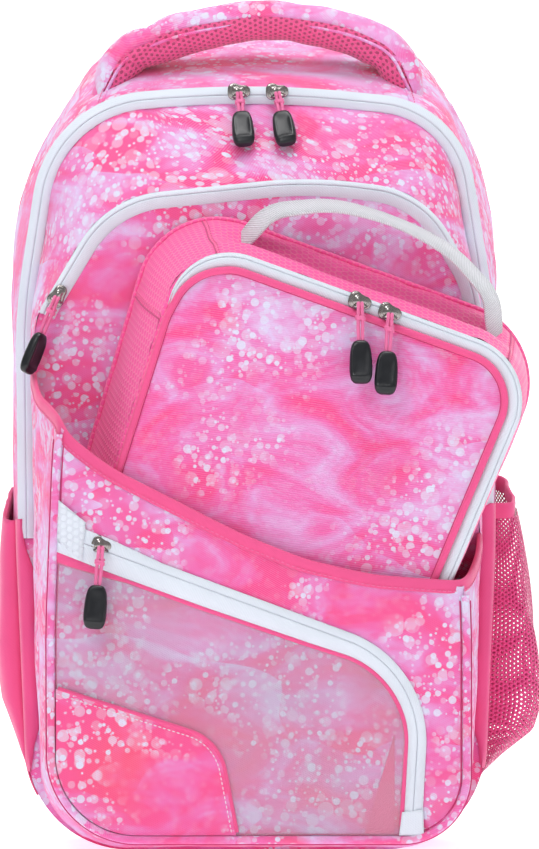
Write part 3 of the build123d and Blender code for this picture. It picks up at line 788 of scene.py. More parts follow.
def fronts():
    """Front wall of the main compartment, then the second compartment in front of it, with both zips."""
    spacing = 4.0
    wall, _ = outline(inset(MAIN, -0.4), spacing)
    rows = disc(wall, MAIN_Y + 0.2, 0.0, 6)
    surface("main_front", rows, PRINT, "pack", "print_fabric", "main_front_panel", True, flat=flat_uv)
    tape = outline(inset(MAIN, MAIN_TAPE / 2 - 0.6), 3.0)[0]
    tape = tape[tape[:, 1] > 176]
    zip_tape("main_zip", tape, level(MAIN_Y), MAIN_TAPE / 2, MAIN_TAPE / 2, "pack", "main_zip_tape")
    rows = gusset_rows(inset(MAIN, MAIN_TAPE - 0.8), MAIN_Y, SECOND, SECOND_Y, 14, 1.8, 11, crease=0.9)
    surface("second_side", rows, PRINT, "pack", "print_fabric", "second_gusset", True)
    tape = outline(inset(SECOND, SECOND_TAPE / 2 - 2.0), 3.0)[0]
    tape = tape[tape[:, 1] > 301]
    zip_tape("second_zip", tape, level(SECOND_Y), SECOND_TAPE - 3.0, 3.0, "pack", "second_zip_tape")
    wall, _ = outline(inset(SECOND, 0.2), spacing)
    surface("second_front", disc(wall, SECOND_Y + 0.4, 1.3, 22, crease=0.5, seed=5), PRINT, "pack",
            "print_fabric", "second_front_panel", True, flat=flat_uv)


# ---- Slip pocket ----
def front_bulge(flat):
    """The front panel's surface, a few millimetres fuller in the middle than at its piped edge."""
    flat = np.asarray(flat, float)
    x, z = flat[..., 0], flat[..., 1]
    edge = np.minimum(np.minimum(x + 111, 114.5 - x), z - 14.5)
    edge = np.clip(edge, 0, None)
    full = 3.0 * (1 - np.exp(-edge / 26))
    return FRONT_Y - full - 0.7 * ripple(flat, 75, 21) * (1 - np.exp(-edge / 20))


def height_at(points, x):
    """The height of a line at each x, where the line runs towards +X."""
    order = np.argsort(points[:, 0], kind="stable")
    return np.interp(x, points[order, 0], points[order, 1])


def front_columns(x0, low, high, rows):
    """Points on the front panel in columns from low to high, following its slightly leaning sides."""
    t = np.linspace(0, 1, rows)[:, None]
    z = low + (high - low) * t
    left = np.interp(z, [14.5, 130, 225, 300], [-110.5, -111, -107.5, -100])
    right = np.interp(z, [14.5, 130, 225, 300], [114.5, 114.5, 110, 100])
    share = (x0 + 110.5) / 225
    return np.stack([left + share * (right - left), z], -1)


def panel_bottom(x, margin=0.0):
    """Height of the front panel's lower edge with its two rounded corners."""
    low = np.full_like(x, 14.5 + margin)
    for corner, radius, side in ((-110.5 + margin, 46 - margin, 1), (114.5 - margin, 34 - margin, -1)):
        centre = corner + side * radius
        d = np.clip((centre - x) * side, 0, radius)
        low = np.maximum(low, 14.5 + margin + radius - np.sqrt(radius ** 2 - d ** 2))
    return low


def spread(low, high, count):
    return low + (high - low) * (1 - np.cos(np.linspace(0, np.pi, count))) / 2


def slip_pocket():
    mouth = np.array(line(MOUTH, [40] * (len(MOUTH) - 2), spacing=3.0)[0])
    x = spread(-110.4, 114.4, 130)
    flat = front_columns(x, panel_bottom(x), height_at(mouth, x) - 3.0, 70)
    surface("pocket_front", pack_plane(flat, front_bulge(flat)), PRINT, "pack", "print_fabric",
            "pocket_front_panel", flat=flat_uv)
    rows = gusset_rows(FRONT, FRONT_Y + 1.0, SECOND, SECOND_Y, 22, 2.2, 31, crease=1.3)
    for side, name in ((-1, "left"), (1, "right")):
        k = (side + 1) // 2
        made = surface(f"pocket_{name}_side", rows, PRINT, "pack", "print_fabric", f"pocket_{name}_gusset",
                       True, lambda m: m[:, 0] * side > 0, thick=1.2, outward=-1.0)
        run = Vector((0, SECOND_Y - FRONT_Y, MOUTH_BACK_Z[k] - MOUTH_FRONT_Z[k]))
        cut(made, (0, FRONT_Y, MOUTH_FRONT_Z[k] - 3.5), (0, -run.z, run.y))
    rim(mouth, rows)
    edge = outline(inset(FRONT, -0.9), 3.0)[0]
    edge = edge[np.roll(np.arange(len(edge)), -int(np.argmax(edge[:, 1])))]
    left = edge[(edge[:, 0] < 0) & (edge[:, 1] < MOUTH_FRONT_Z[0] - 6)]
    right = edge[(edge[:, 0] >= 0) & (edge[:, 1] < MOUTH_FRONT_Z[1] - 5)]
    path = np.concatenate([right, left])
    line_3d = pack_plane(path, FRONT_Y - 1.5)
    line_3d[:, 1] -= 0.35 * ripple(line_3d, 24, 41)
    tube("pocket_piping_cord", resample(line_3d, 3.0), PIPING, PRINT, "pack", "print_fabric", "pocket_piping",
         sides=12)
    # These dark seam lines are painted shade beside the piping.
    for name, amount, y in (("inner", 2.1, FRONT_Y - 0.5), ("outer", -3.6, FRONT_Y + 1.6)):
        edge = outline(inset(FRONT, amount), 3.0)[0]
        edge = edge[np.roll(np.arange(len(edge)), -int(np.argmax(edge[:, 1])))]
        limit = np.where(edge[:, 0] < 0, MOUTH_FRONT_Z[0] - 9, MOUTH_FRONT_Z[1] - 8)
        seam(f"pocket_seam_{name}", pack_plane(edge[edge[:, 1] < limit], y), "pack")


def rim(mouth, rows):
    """Plain binding folded over the slip pocket's mouth, from one back corner round to the other."""
    front = mouth[(mouth[:, 0] > -103) & (mouth[:, 0] < 109)]
    ends = []
    for side, k in ((-1, 0), (1, 1)):
        points = []
        for t in np.linspace(0.0, 1.0, 18):
            y = FRONT_Y + 1 + (SECOND_Y - FRONT_Y - 1) * t
            z = MOUTH_FRONT_Z[k] + (MOUTH_BACK_Z[k] - MOUTH_FRONT_Z[k]) * t
            near = rows[min(21, int(round(t * 21)))]
            near = near[near[:, 0] * side > 0]
            x = near[np.argmin(abs(near[:, 2] - z)), 0]
            points.append((x + 0.5 * side, y, z))
        ends.append(points)
    left, right = ends
    whole = left[::-1] + [tuple(p) for p in pack_plane(front, front_bulge(front) - 0.2)] + right
    path = resample(np.array(whole), 2.5)
    for _ in range(10):
        path[1:-1] = (path[:-2] + 2 * path[1:-1] + path[2:]) / 4
    t = tangents(path)
    down = np.array([0, 0, -1.0]) - t * (-t[:, 2])[:, None]
    down /= np.linalg.norm(down, axis=1)[:, None]
    out = np.cross(down, t)
    section = [(BINDING, 0.3), (BINDING - 0.4, 1.0), (BINDING / 2, 1.35), (1.2, 1.3), (0.2, 0.8), (-0.1, 0),
               (0.2, -1.2), (1.2, -1.9), (BINDING, -1.9)]
    along = lengths(path)
    swell = 0.25 * ripple(np.stack([along, along * 0], 1), 14, 51)
    made = np.array([path + down * d + out * (h + (swell[:, None] if 0 < h else 0)) for d, h in section])
    surface("mouth_binding", made, FABRIC_PINK, "pack", "plain_fabric", "pocket_binding")
    sewn = path + down * (BINDING - 1.4) + out * 1.15
    sew("mouth_stitches", [(sewn, out)], "pack")


def layer_y(flat, lift):
    return front_bulge(flat) - lift


def zip_pocket():
    """Flat zip pocket on the front panel: tape, clear window, its binding, corner patch and end tabs."""
    path = line(ZIP_POCKET_PATH, [ZIP_POCKET_BEND], spacing=2.5)[0]
    path = path[path[:, 0] > -108.3]
    along = lengths(path)
    inner = np.interp(along, [0, 35, 90, 150, 230, 300], [9.8, 10.4, 10.0, 8.6, 5.2, 4.8])
    outer = np.interp(along, [0, 30, 60, 200, 300], [8.0, 7.0, 4.6, 4.6, 5.6])
    taped = path[:, 1] > 26
    zip_tape("pocket_zip", path[taped], lambda flat: layer_y(flat, 0.5), inner[taped], outer[taped], "pack",
             "zip_pocket_tape")
    x = np.concatenate([spread(-108.6, 60, 70), np.linspace(61.5, 83.0, 16)])
    curve = path[: int(np.argmax(path[:, 0])) + 1]
    top = height_at(curve, x) - 3
    flat = front_columns(x, panel_bottom(x, 1.6), top, 50)
    wavy = layer_y(flat, 0.7) - 0.35 * (1 + ripple(flat, 34, 61))
    surface("window", pack_plane(flat, wavy), FILM, "pack", "clear_film", "window_panel", flat=flat_uv)
    side = sideways(path)
    deep = np.interp(along, [0, 22, 45, 300], [6.0, 4.4, 2.2, 2.2])
    rows = []
    for share, lift in ((-0.2, 0.8), (0.1, 1.5), (0.4, 1.7), (0.75, 1.5), (1.0, 0.6)):
        edge = path - side * (inner + share * deep)[:, None]
        rows.append(pack_plane(edge, layer_y(edge, lift)))
    rows = np.array(rows)[:, rows[-1][:, 2] > 17]
    surface("window_edge", rows, FABRIC_PINK, "pack", "plain_fabric", "window_binding")
    z = np.linspace(17, 72, 20)
    lean = np.clip(72 - z, 0, 60) * 0.30
    wedge = np.array([np.stack([76 - share * lean, z], 1) for share in (0, 0.33, 0.67, 1)])
    surface("ribbon_wedge", pack_plane(wedge, layer_y(wedge, 0.45)), FABRIC_PINK, "pack", "plain_fabric")
    patch()
    tabs = {"start": [(-108.3, 200.0), (-92.5, 187.0), (-94.5, 166.0), (-108.3, 177.0)],
            "end": [(80.0, 29), (91.6, 30.5), (92.0, 16.2), (78.4, 16.2)]}
    for name, corners in tabs.items():
        a, b, c, d = (np.array(k, float) for k in corners)
        s = np.linspace(0, 1, 9)[:, None, None]
        t = np.linspace(0, 1, 9)[None, :, None]
        flat = (a * (1 - s) + b * s) * (1 - t) + (d * (1 - s) + c * s) * t
        surface(f"zip_{name}_tab", pack_plane(flat, layer_y(flat, 1.9)),
                RIPSTOP_WHITE if name == "start" else TAPE_WHITE, "pack", "zip_tape", flat=flat_uv, thick=0.5)


def patch():
    """Printed corner patch with a bound and stitched edge."""
    edge = line(PATCH_LINE, [PATCH_BEND], spacing=2.0)[0]
    edge = edge[(edge[:, 0] > -108.8) & (edge[:, 1] > 16.4)]
    x = np.concatenate([spread(-108.6, -30, 30), np.linspace(-29, edge[-1, 0] - 0.1, 26)])
    top = height_at(edge, x)
    flat = front_columns(x, panel_bottom(x, 1.6), np.maximum(top, panel_bottom(x, 1.6) + 0.5), 30)
    surface("corner_patch_print", pack_plane(flat, layer_y(flat, 1.9)), PRINT_PATCH, "pack", "print_fabric",
            "corner_patch", flat=flat_uv)
    side = sideways(edge)
    rows = []
    for across, lift in ((-0.6, 1.2), (-0.5, 2.4), (0.3, 2.9), (1.1, 2.6), (1.5, 1.2)):
        b = edge + side * across
        rows.append(pack_plane(b, layer_y(b, lift)))
    surface("corner_patch_edge", np.array(rows), FABRIC_PINK, "pack", "plain_fabric")
    sewn = edge - side * 2.6
    thread = stitches([(pack_plane(sewn, layer_y(sewn, 1.95)), (0, -1, 0))], 2.6, 1.9, 0.3, 0.1)
    piece("corner_patch_stitches", *thread, THREAD_WHITE, "pack", "zip_tape")


# ---- Side pockets ----
POCKET_Y = (8.0, 84.0)
LEFT_POCKET = [(-122, 30), (-134, 54), (-145, 84), (-148, 115), (-146.5, 165), (-143, 206)]
RIGHT_POCKET = [(122, 34), (140, 52), (158, 66), (162.5, 80), (161, 122), (152.5, 180), (145, 212)]


def pack_side(y, z, sign):
    """How far out the pack's left (-1) or right (1) side is at a depth and height."""
    reach = []
    for corners in (MAIN, BACK):
        flat = outline(corners)[0]
        flat = flat[(flat[:, 0] * sign > 60) & (flat[:, 1] < 350)]
        flat = flat[np.argsort(flat[:, 1])]
        reach.append(np.interp(z, flat[:, 1], abs(flat[:, 0])))
    t = np.clip((y - MAIN_Y) / (BACK_Y - MAIN_Y), 0, 1)
    return reach[0] + (reach[1] - reach[0]) * t + 1.3


def side_pocket_rows(profile, tops, square, fold, seed):
    """Rows across a side pocket from its front seam round to its back seam, from the bottom to the hem."""
    profile = np.array(profile, float)
    sign = np.sign(profile[0, 0])
    v = np.linspace(0, 1, 46)
    made = []
    for t in np.linspace(0, 1, 60):
        angle = np.pi * v
        across = np.sign(np.cos(angle)) * abs(np.cos(angle)) ** square
        y = 46 - 38 * across
        out = np.sin(angle) ** square
        top = tops[0] + (tops[1] - tops[0]) * (y - POCKET_Y[0]) / 76
        z = profile[0, 1] + (top - profile[0, 1]) * t
        reach = np.interp(z, profile[:, 1], abs(profile[:, 0]))
        wall = pack_side(y, z, sign)
        folds = fold * ripple(np.stack([y, z * 0.22], 1), 19, seed)
        folds *= out * (0.35 + 0.65 * np.sin(np.pi * t))
        x = wall + np.maximum(reach - wall - 0.6, 0.4) * out + folds * (reach > wall)
        made.append(np.stack([sign * np.maximum(x, wall + 0.2 * out), y, z], 1))
    return np.array(made)


def side_pockets():
    left = side_pocket_rows(LEFT_POCKET, (186, 204), 0.5, 0.9, 71)
    surface("left_pocket", left, FABRIC_PINK, "pack", "plain_fabric", "left_side_pocket", thick=1.2,
            outward=-1.0)
    hem("left_pocket_hem", left[-1], FABRIC_PINK, 9)
    right = side_pocket_rows(RIGHT_POCKET, (196, 211), 0.42, 2.2, 72)
    net = surface("mesh_pocket", right[:-3], NET, "pack", "pocket_mesh", "right_mesh_pocket")
    hem("mesh_pocket_hem", right[-1], FABRIC_PINK, 9)
    pocket_wrap("left_pocket_wrap", -1, (44, 187), (155, 182), ())
    pocket_wrap("mesh_pocket_wrap", 1, (46, 196), (196, 196), "right_pocket_binding")


def pocket_wrap(name, sign, ends, taper, node):
    """Plain cloth from a side pocket's front seam round the pack's edge and onto its front face."""
    z = np.linspace(*ends, 60)
    wide = np.interp(z, [ends[0], ends[0] + 28, taper[0], taper[1]], [0.5, 7.4, 7.4, 2.0])
    edge = pack_side(MAIN_Y, z, sign) - 1.3
    wavy = 0.8 * ripple(np.stack([z, z * 0 + 3], 1), 26, 73)
    rows = [(edge - wide + wavy, MAIN_Y - 0.5), (edge - wide + wavy + 0.6, MAIN_Y - 1.6),
            (edge - 0.5 * wide, MAIN_Y - 2.1 + 0.3 * wavy), (edge - 0.4, MAIN_Y - 1.6),
            (edge + 1.1, MAIN_Y + 0.4), (edge + 1.9, MAIN_Y + 7),
            (pack_side(POCKET_Y[0], z, sign) + 0.9, POCKET_Y[0] + 1.5)]
    rows = np.array([np.stack([sign * x, y + 0 * z, z], 1) for x, y in rows])
    surface(name, rows, FABRIC_PINK, "pack", "plain_fabric", node)


def hem(name, top, material, deep):
    """A folded elastic hem along a pocket's top edge."""
    t = tangents(top)
    down = np.array([0, 0, -1.0]) - t * (-t[:, 2])[:, None]
    down /= np.linalg.norm(down, axis=1)[:, None]
    out = np.cross(down, t)
    if (out[len(out) // 2, 0] > 0) != (top[len(top) // 2, 0] > 0):
        out = -out
    section = [(deep, -0.8), (0.8, -0.9), (0, 0.1), (0.9, 1.0), (deep / 2, 1.2), (deep - 0.5, 0.9),
               (deep, 0.1)]
    rows = np.array([top + down * d + out * h for d, h in section])
    surface(name, rows, material, "pack", "plain_fabric")


# ---- Cloth ----
def puff(made, held, pressure, steps, cap):
    """Inflates a piece as cloth, its held points pinned, and lets no point move further than cap."""
    before = np.zeros(len(made.data.vertices) * 3)
    made.data.vertices.foreach_get("co", before)
    before = before.reshape(-1, 3)
    group = made.vertex_groups.new(name="Seam")
    group.add([int(i) for i in np.nonzero(held(before / MM))[0]], 1.0, "REPLACE")
    cloth = made.modifiers.new("Cloth", "CLOTH")
    s = cloth.settings
    s.quality = 6
    s.mass = 0.25
    s.tension_stiffness = 18
    s.compression_stiffness = 18
    s.shear_stiffness = 8
    s.bending_stiffness = 0.6
    s.use_pressure = True
    s.uniform_pressure_force = pressure
    s.shrink_min = -0.02
    s.effector_weights.gravity = 0
    s.vertex_group_mass = "Seam"
    cloth.collision_settings.use_collision = False
    cloth.point_cache.frame_end = steps
    for step in range(1, steps + 1):
        bpy.context.scene.frame_set(step)
    shaped = made.evaluated_get(bpy.context.evaluated_depsgraph_get()).to_mesh()
    after = np.zeros(len(before) * 3)
    shaped.vertices.foreach_get("co", after)
    move = after.reshape(-1, 3) - before
    far = np.linalg.norm(move, axis=1, keepdims=True)
    move *= np.minimum(1.0, cap * MM / np.maximum(far, 1e-9))
    made.modifiers.remove(cloth)
    made.vertex_groups.remove(group)
    made.data.vertices.foreach_set("co", (before + move).ravel())
    made.data.update()
    bpy.context.scene.frame_set(1)


# ---- Carry handle ----
def carry_handle():
    """Padded arch: print over the top, spacer mesh below, both sewn into the top gusset's seams."""
    flat = line(HANDLE_PATH, HANDLE_BENDS, spacing=3.0)[0]
    path = resample(pack_plane(flat, HANDLE_Y), 3.0)
    along = lengths(path)
    share = along / along[-1]
    up = np.array([0.0, -1.0, 0.0])
    end = np.clip(np.minimum(share, 1 - share) / 0.11, 0, 1)
    full = 0.45 + 0.55 * np.sin(end * np.pi / 2)
    a = np.linspace(0, 2 * np.pi, 45)
    c, s = np.cos(a), np.sin(a)
    wide = 15.0 * np.sign(c) * abs(c) ** 0.75
    high = np.where(s < 0, 13.0, 10.0) * np.sign(s) * abs(s) ** 0.9
    _, side, forward = frames(path, up=up)
    inwards = np.sign((side[len(side) // 2] @ np.array([0, 0, 1.0])))
    rows = []
    for w, h, sine in zip(wide, high, s):
        wrinkle = 0.55 * ripple(np.stack([along, along * 0 + 8 * sine], 1), 21, 81) * abs(sine)
        pinch = 1.4 * np.exp(-((abs(along - along[-1] / 2) - along[-1] * 0.33) / 7.0) ** 2) * (sine < -0.2)
        reach = (h * full + wrinkle - np.sign(sine) * pinch * abs(sine)) * inwards
        rows.append(path + forward * (w * (0.8 + 0.2 * full))[:, None] + side * reach[:, None])
    rows = np.array(rows)
    split = math.asin(-0.27)
    right, left = split % (2 * np.pi), (np.pi - split) % (2 * np.pi)
    order = np.concatenate([np.nonzero(a >= right - 0.01)[0], np.nonzero(a <= left + 0.08)[0][1:]])
    cover = surface("handle_top", rows[order], PRINT, None, "print_fabric", ("handle_cover", "handle_core"))
    lower = np.nonzero((a >= left - 0.30) & (a <= right + 0.30))[0]
    lining = surface("handle_underside", rows[lower], SPACER, None, "spacer_mesh", "handle_lining")
    pipes = [tube(f"handle_seam_{k}", rows[order[end]], 0.9, PRINT, None, "print_fabric", sides=8)
             for k, end in enumerate((0, -1))]
    for made in (cover, lining):
        puff(made, lambda p: (p[:, 2] < 445), 1.5, 10, 1.2)
    for made in (cover, lining, *pipes):
        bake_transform(made)


# ---- Shoulder straps ----
def strap_points(flat, across, side):
    """From a strap's side view (rearwards, upwards) and across it, to the pack's frame."""
    flat = np.asarray(flat, float)
    c, s = math.cos(STRAP_SPLAY), math.sin(STRAP_SPLAY)
    x = side * STRAP_X + side * flat[..., 1] * -s + across * c
    z = STRAP_TOP_Z + flat[..., 1] * c + side * across * s
    return np.stack([x, BACK_Y + flat[..., 0], z], -1)


def strap(side, name):
    middle = line(STRAP_PATH, STRAP_BENDS, spacing=4.0)[0]
    middle = resample(middle, 4.0)
    out = sideways(middle)
    along = lengths(middle)
    a = np.linspace(0, 2 * np.pi, 41)
    c, s = np.cos(a), np.sin(a)
    end = np.clip((along[-1] - along) / 26, 0, 1) ** 0.5
    start = np.clip(along / 22, 0, 1)
    half = (STRAP_WIDTH / 2 - 1.5) * (0.52 + 0.48 * end)
    thick = STRAP_PAD / 2 * (0.45 + 0.55 * np.minimum(end, 0.3 + 0.7 * start))
    rows = []
    for k in range(len(a)):
        w = np.sign(c[k]) * abs(c[k]) ** 0.45
        h = np.sign(s[k]) * abs(s[k]) ** 0.8 * (0.35 + 0.65 * (1 - abs(w) ** 6))
        shift = h * thick + 0.35 * ripple(np.stack([along, along * 0 + w * 40], 1), 32, 91) * abs(h)
        rows.append(strap_points(middle + out * shift[:, None], w * half, side))
    rows = np.array(rows)
    top, under = rows[:21], rows[20:]
    if (top[10, 30] - under[10, 30])[1] < 0:
        top, under = under, top
    body = f"{name}_strap"
    face = surface(f"{name}_strap_outside", top, PRINT, None, "print_fabric", f"{name}_strap_pad")
    back = surface(f"{name}_strap_inside", under, SPACER, None, "spacer_mesh")
    trims = []
    for k, edge in enumerate((rows[0], rows[20])):
        trims.append(tube(f"{name}_strap_binding_{k}", edge, 1.9, FABRIC_PINK, None, "plain_fabric"))
    for made in (face, back):
        puff(made, lambda p: np.isin(np.arange(len(p)), seam_points(p, rows)), 2.0, 10, 1.5)
    for made in (face, back, *trims):
        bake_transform(made)
    buckle(side, name)
    run = line([(33, -238), *WEBBING_PATH[1:], (1.2, -392)], [300, 60], spacing=4.0)[0]
    run = resample(run, 4.0)
    out = sideways(run)
    rows = np.array([strap_points(run + out * h, w, side) for w, h in ribbon(WEBBING / 2)])
    web = surface(f"{name}_webbing", rows.transpose(1, 0, 2), WEB_PINK, None, "pink_webbing",
                  f"{name}_strap_webbing", flat=lambda p: np.stack([p[:, 0], p[:, 2]], 1))
    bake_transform(web)
    tail = line([(37, -226), (46, -262), (44, -330)], [40], spacing=4.0)[0]
    out = sideways(tail)
    rows = np.array([strap_points(tail + out * h, w, side) for w, h in ribbon(WEBBING / 2)])
    surface(f"{name}_webbing_tail", rows.transpose(1, 0, 2), WEB_PINK, body, "pink_webbing",
            flat=lambda p: np.stack([p[:, 0], p[:, 2]], 1))


def seam_points(points, rows):
    edges = np.concatenate([rows[0], rows[20], rows[:, 0], rows[:, -1]])
    found = []
    for i in range(0, len(points), 400):
        d = np.linalg.norm(points[i:i + 400, None] - edges[None], axis=-1).min(1)
        found += (i + np.nonzero(d < 0.5)[0]).tolist()
    return found


def buckle(side, name):
    """Ladder lock: a moulded frame with three rounded bars, on the strap's end."""
    end = np.array(STRAP_PATH[-1], float)
    run = unit(end - np.array(STRAP_PATH[-2]))
    groups = []

    def bar(line_2d, across_2d, radius):
        points = np.array([strap_points(end + run * p, w, side) for p, w in zip(line_2d, across_2d)])
        rows = sweep(points, ring_profile(radius, radius, 2.6, 12))
        rows = np.concatenate([rows, rows[:, :1]], 1)
        first, last = (np.broadcast_to(rows[k].mean(0), rows[:1].shape) for k in (0, -1))
        groups.append(as_group(np.concatenate([first, rows, last])))

    for w in (-15.5, 15.5):
        bar(np.linspace(0.5, 25.5, 8), np.full(8, w), 2.4)
    for p, r in ((1.8, 1.9), (11.0, 1.7), (17.0, 1.7), (24.6, 2.2)):
        bar(np.full(8, p), np.linspace(-15.5, 15.5, 8), r)
    piece(f"{name}_ladder_lock", *merge(groups), BUCKLE, f"{name}_strap", "buckle_plastic",
          f"{name}_strap_buckle")


# ---- Back ----
def mirrored(corners):
    return [(-x, z, radius) for x, z, radius in reversed(corners)]


def back():
    wall, _ = outline(inset(BACK, 0.5), 4.0)
    rows = disc(wall, BACK_Y - 0.4, -1.0, 26, crease=0.3, seed=101)
    surface("back_wall", rows, FABRIC_PINK, "pack", "plain_fabric", ("back_panel", "back_foam"), True,
            flat=flat_uv)
    edge, _ = outline(inset(BACK, 1.8), 4.0)
    tube("back_piping", pack_plane(edge, BACK_Y + 0.3), 1.7, FABRIC_PINK, "pack", "plain_fabric", closed=True)
    for k, shape in enumerate((mirrored(RIB), RIB, LUMBAR)):
        flat, _ = outline(shape, 4.0)
        rows = disc(flat, BACK_Y + 0.4, -PAD_DEPTH + 0.8, 18, puff=5.0, crease=0.35, seed=110 + k)
        node = "back_pads" if k == 0 else ()
        pad = surface(f"back_pad_{k}", rows, SPACER, "pack", "spacer_mesh", node, True, flat=flat_uv)
        puff(pad, lambda p: p[:, 1] < BACK_Y + 2.5, 2.5, 10, 1.6)
        groove = pack_plane(outline(inset(shape, -1.6), 4.0)[0], BACK_Y + 1.0)
        tube(f"back_pad_{k}_edge", groove, 1.3, FABRIC_PINK, "pack", "plain_fabric", closed=True, sides=8)
    sewn = []
    for k, shape in enumerate((YOKE, mirrored(ANCHOR), ANCHOR)):
        flat, _ = outline(shape, 4.0)
        rows = disc(flat, BACK_Y + 0.2, -3.0, 8, puff=2.0, crease=0.2, seed=120 + k)
        node = "strap_anchors" if k == 0 else ()
        surface(f"strap_seat_{k}", rows, FABRIC_PINK, "pack", "plain_fabric", node, True, flat=flat_uv)
        closed = outline(inset(shape, 3.0), 4.0)[0]
        sewn.append((pack_plane(np.concatenate([closed, closed[:1]]), BACK_Y + 2.7), (0, 1, 0)))
    sew("back_stitches", sewn, "pack")
    loop = line([(0, 399), (14, 397), (14, 364), (0, 362)], [6, 6], spacing=1.5)[0]
    out = sideways(loop)
    rows = []
    for w, h in ribbon(7.5):
        y, z = (loop + out * h).T
        rows.append(np.stack([w + 0 * y, BACK_Y + y, z], 1))
    rows = np.array(rows).transpose(1, 0, 2)
    surface("hang_loop_webbing", rows, WEB_PINK, "pack", "pink_webbing", "hang_loop")


# ---- Lunch bag ----
def lunch_edge(amount, spacing=4.0, counts=None):
    """The lunch bag's front outline moved in by amount, and out again where no zip tape runs beside it."""
    a, counts = outline(inset(LUNCH_FRONT, amount), spacing, counts)
    b, _ = outline(inset(LUNCH_FRONT, max(amount - LUNCH_TAPE + 1.6, -0.5)), spacing, counts)
    bare = np.clip((LUNCH_ZIP_START + 34 - a[:, 1]) / 34, 0, 1) * np.clip((20 - a[:, 0]) / 60, 0, 1)
    return a + (b - a) * bare[:, None]


def lunch_sides():
    """Ripstop gusset with a valley along its top behind the zip, and its sewn seams."""
    rows = gusset_rows(LUNCH_FRONT, LUNCH_FRONT_Y, LUNCH_BACK, LUNCH_BACK_Y, 26, 1.6, 131, lunch_plane, 1.2)
    share = np.linspace(0, 1, len(rows))[:, None]
    local = lunch_uv(rows.reshape(-1, 3)).reshape(*rows.shape[:2], 2)
    over_top = np.clip((local[..., 1] - 92) / 14, 0, 1) * np.clip((96 - abs(local[..., 0])) / 26, 0, 1)
    valley = 7.0 * np.exp(-((share - 0.55) / 0.2) ** 2) - 1.8 * np.exp(-((share - 0.22) / 0.09) ** 2)
    down = lunch_plane(np.array([[0.0, -1.0]]), 0.0)[0] - lunch_plane(np.array([[0.0, 0.0]]), 0.0)[0]
    rows = rows + (valley * over_top)[..., None] * down
    surface("lunch_side", rows, RIPSTOP, "lunch_bag", "ripstop", ("lunch_gusset", "lunch_liner"), True)
    for k, (x, z) in enumerate(((-88, 108), (86, 108), (-104, 60))):
        column = int(np.argmin(np.hypot(local[0, :, 0] - x, local[0, :, 1] - z)))
        line_3d = rows[:, column]
        middle = lunch_plane(np.array([[0.0, 0.0]]), LUNCH_HANDLE_Y)[0]
        out = unit((line_3d[len(line_3d) // 2] - middle) * np.array([1, 0, 1]))
        # Dark seam line: painted shade in the gusset's seam groove.
        seam(f"lunch_seam_{k}", line_3d + out * 0.1, "lunch_bag", 0.5)
        beside = rows[:, (column + 1) % rows.shape[1]]
        sewn = line_3d + (beside - line_3d) * 0.6 + out * 0.3
        sew(f"lunch_stitches_{k}", [(sewn, out)], "lunch_bag")


def lunch_bag():
    front_y = LUNCH_FRONT_Y
    lunch_sides()
    wall, _ = outline(inset(LUNCH_BACK, 0.8), 4.0)
    surface("lunch_back", disc(wall, LUNCH_BACK_Y - 0.6, -0.3, 8, lunch_plane), FABRIC_PINK, "lunch_bag",
            "plain_fabric", "lunch_back_panel", True, flat=lunch_uv)
    wall = lunch_edge(LUNCH_TAPE - 0.2)
    rows = disc(wall, front_y - 0.2, 2.8, 30, lunch_plane, puff=12.0, crease=0.7, seed=133)
    surface("lunch_front", rows, PRINT_LUNCH, "lunch_bag", "print_fabric", "lunch_front_panel", True,
            flat=lunch_uv)
    a, counts = outline(LUNCH_FRONT, 4.0)
    b = lunch_edge(LUNCH_TAPE + 1, 4.0, counts)
    rows = np.array([lunch_plane(a + (b - a) * t, front_y - 0.5 * math.sin(math.pi * t) - 0.1)
                     for t in np.linspace(0, 1, 7)])
    surface("lunch_front_border", rows, RIPSTOP, "lunch_bag", "ripstop", closed=True, flat=lunch_uv)
    tape = outline(inset(LUNCH_FRONT, LUNCH_TAPE / 2 - 1.6), 3.0)[0]
    start = int(np.argmin(abs(tape[:, 0] + 100) + abs(tape[:, 1] - LUNCH_ZIP_START)))
    tape = np.roll(tape, -start, 0)
    tape = tape[:int(np.nonzero((tape[:, 0] > 60) & (tape[:, 1] < -60))[0][0])]
    widen = np.clip(lengths(tape) / 40, 0.06, 1) ** 0.8
    zip_tape("lunch_zip", tape, level(front_y), (LUNCH_TAPE - 2.4) * widen, 2.4 * widen, "lunch_bag",
             "lunch_zip_tape", lunch_plane)
    edge = lunch_edge(LUNCH_TAPE + 1.6, 3.0)
    inside = lunch_plane(lunch_edge(LUNCH_TAPE + 3.7, 3.0), front_y - 1.0)
    # Dark seam line inside the piping: painted shade.
    seam("lunch_front_seam", np.concatenate([inside, inside[:1]]), "lunch_bag", 0.5)
    around = lunch_plane(edge, front_y - 1.9)
    around[:, 1] -= 0.3 * ripple(around, 16, 135)
    tube("lunch_piping_cord", around, 1.95, FABRIC_PINK, "lunch_bag", "plain_fabric", "lunch_piping",
         closed=True, sides=12)
    edge = outline(inset(LUNCH_BACK, -0.3), 4.0)[0]
    tube("lunch_back_piping", lunch_plane(edge, LUNCH_BACK_Y - 1.2), 1.5, RIPSTOP, "lunch_bag", "ripstop",
         closed=True, sides=8)
    lunch_handle()


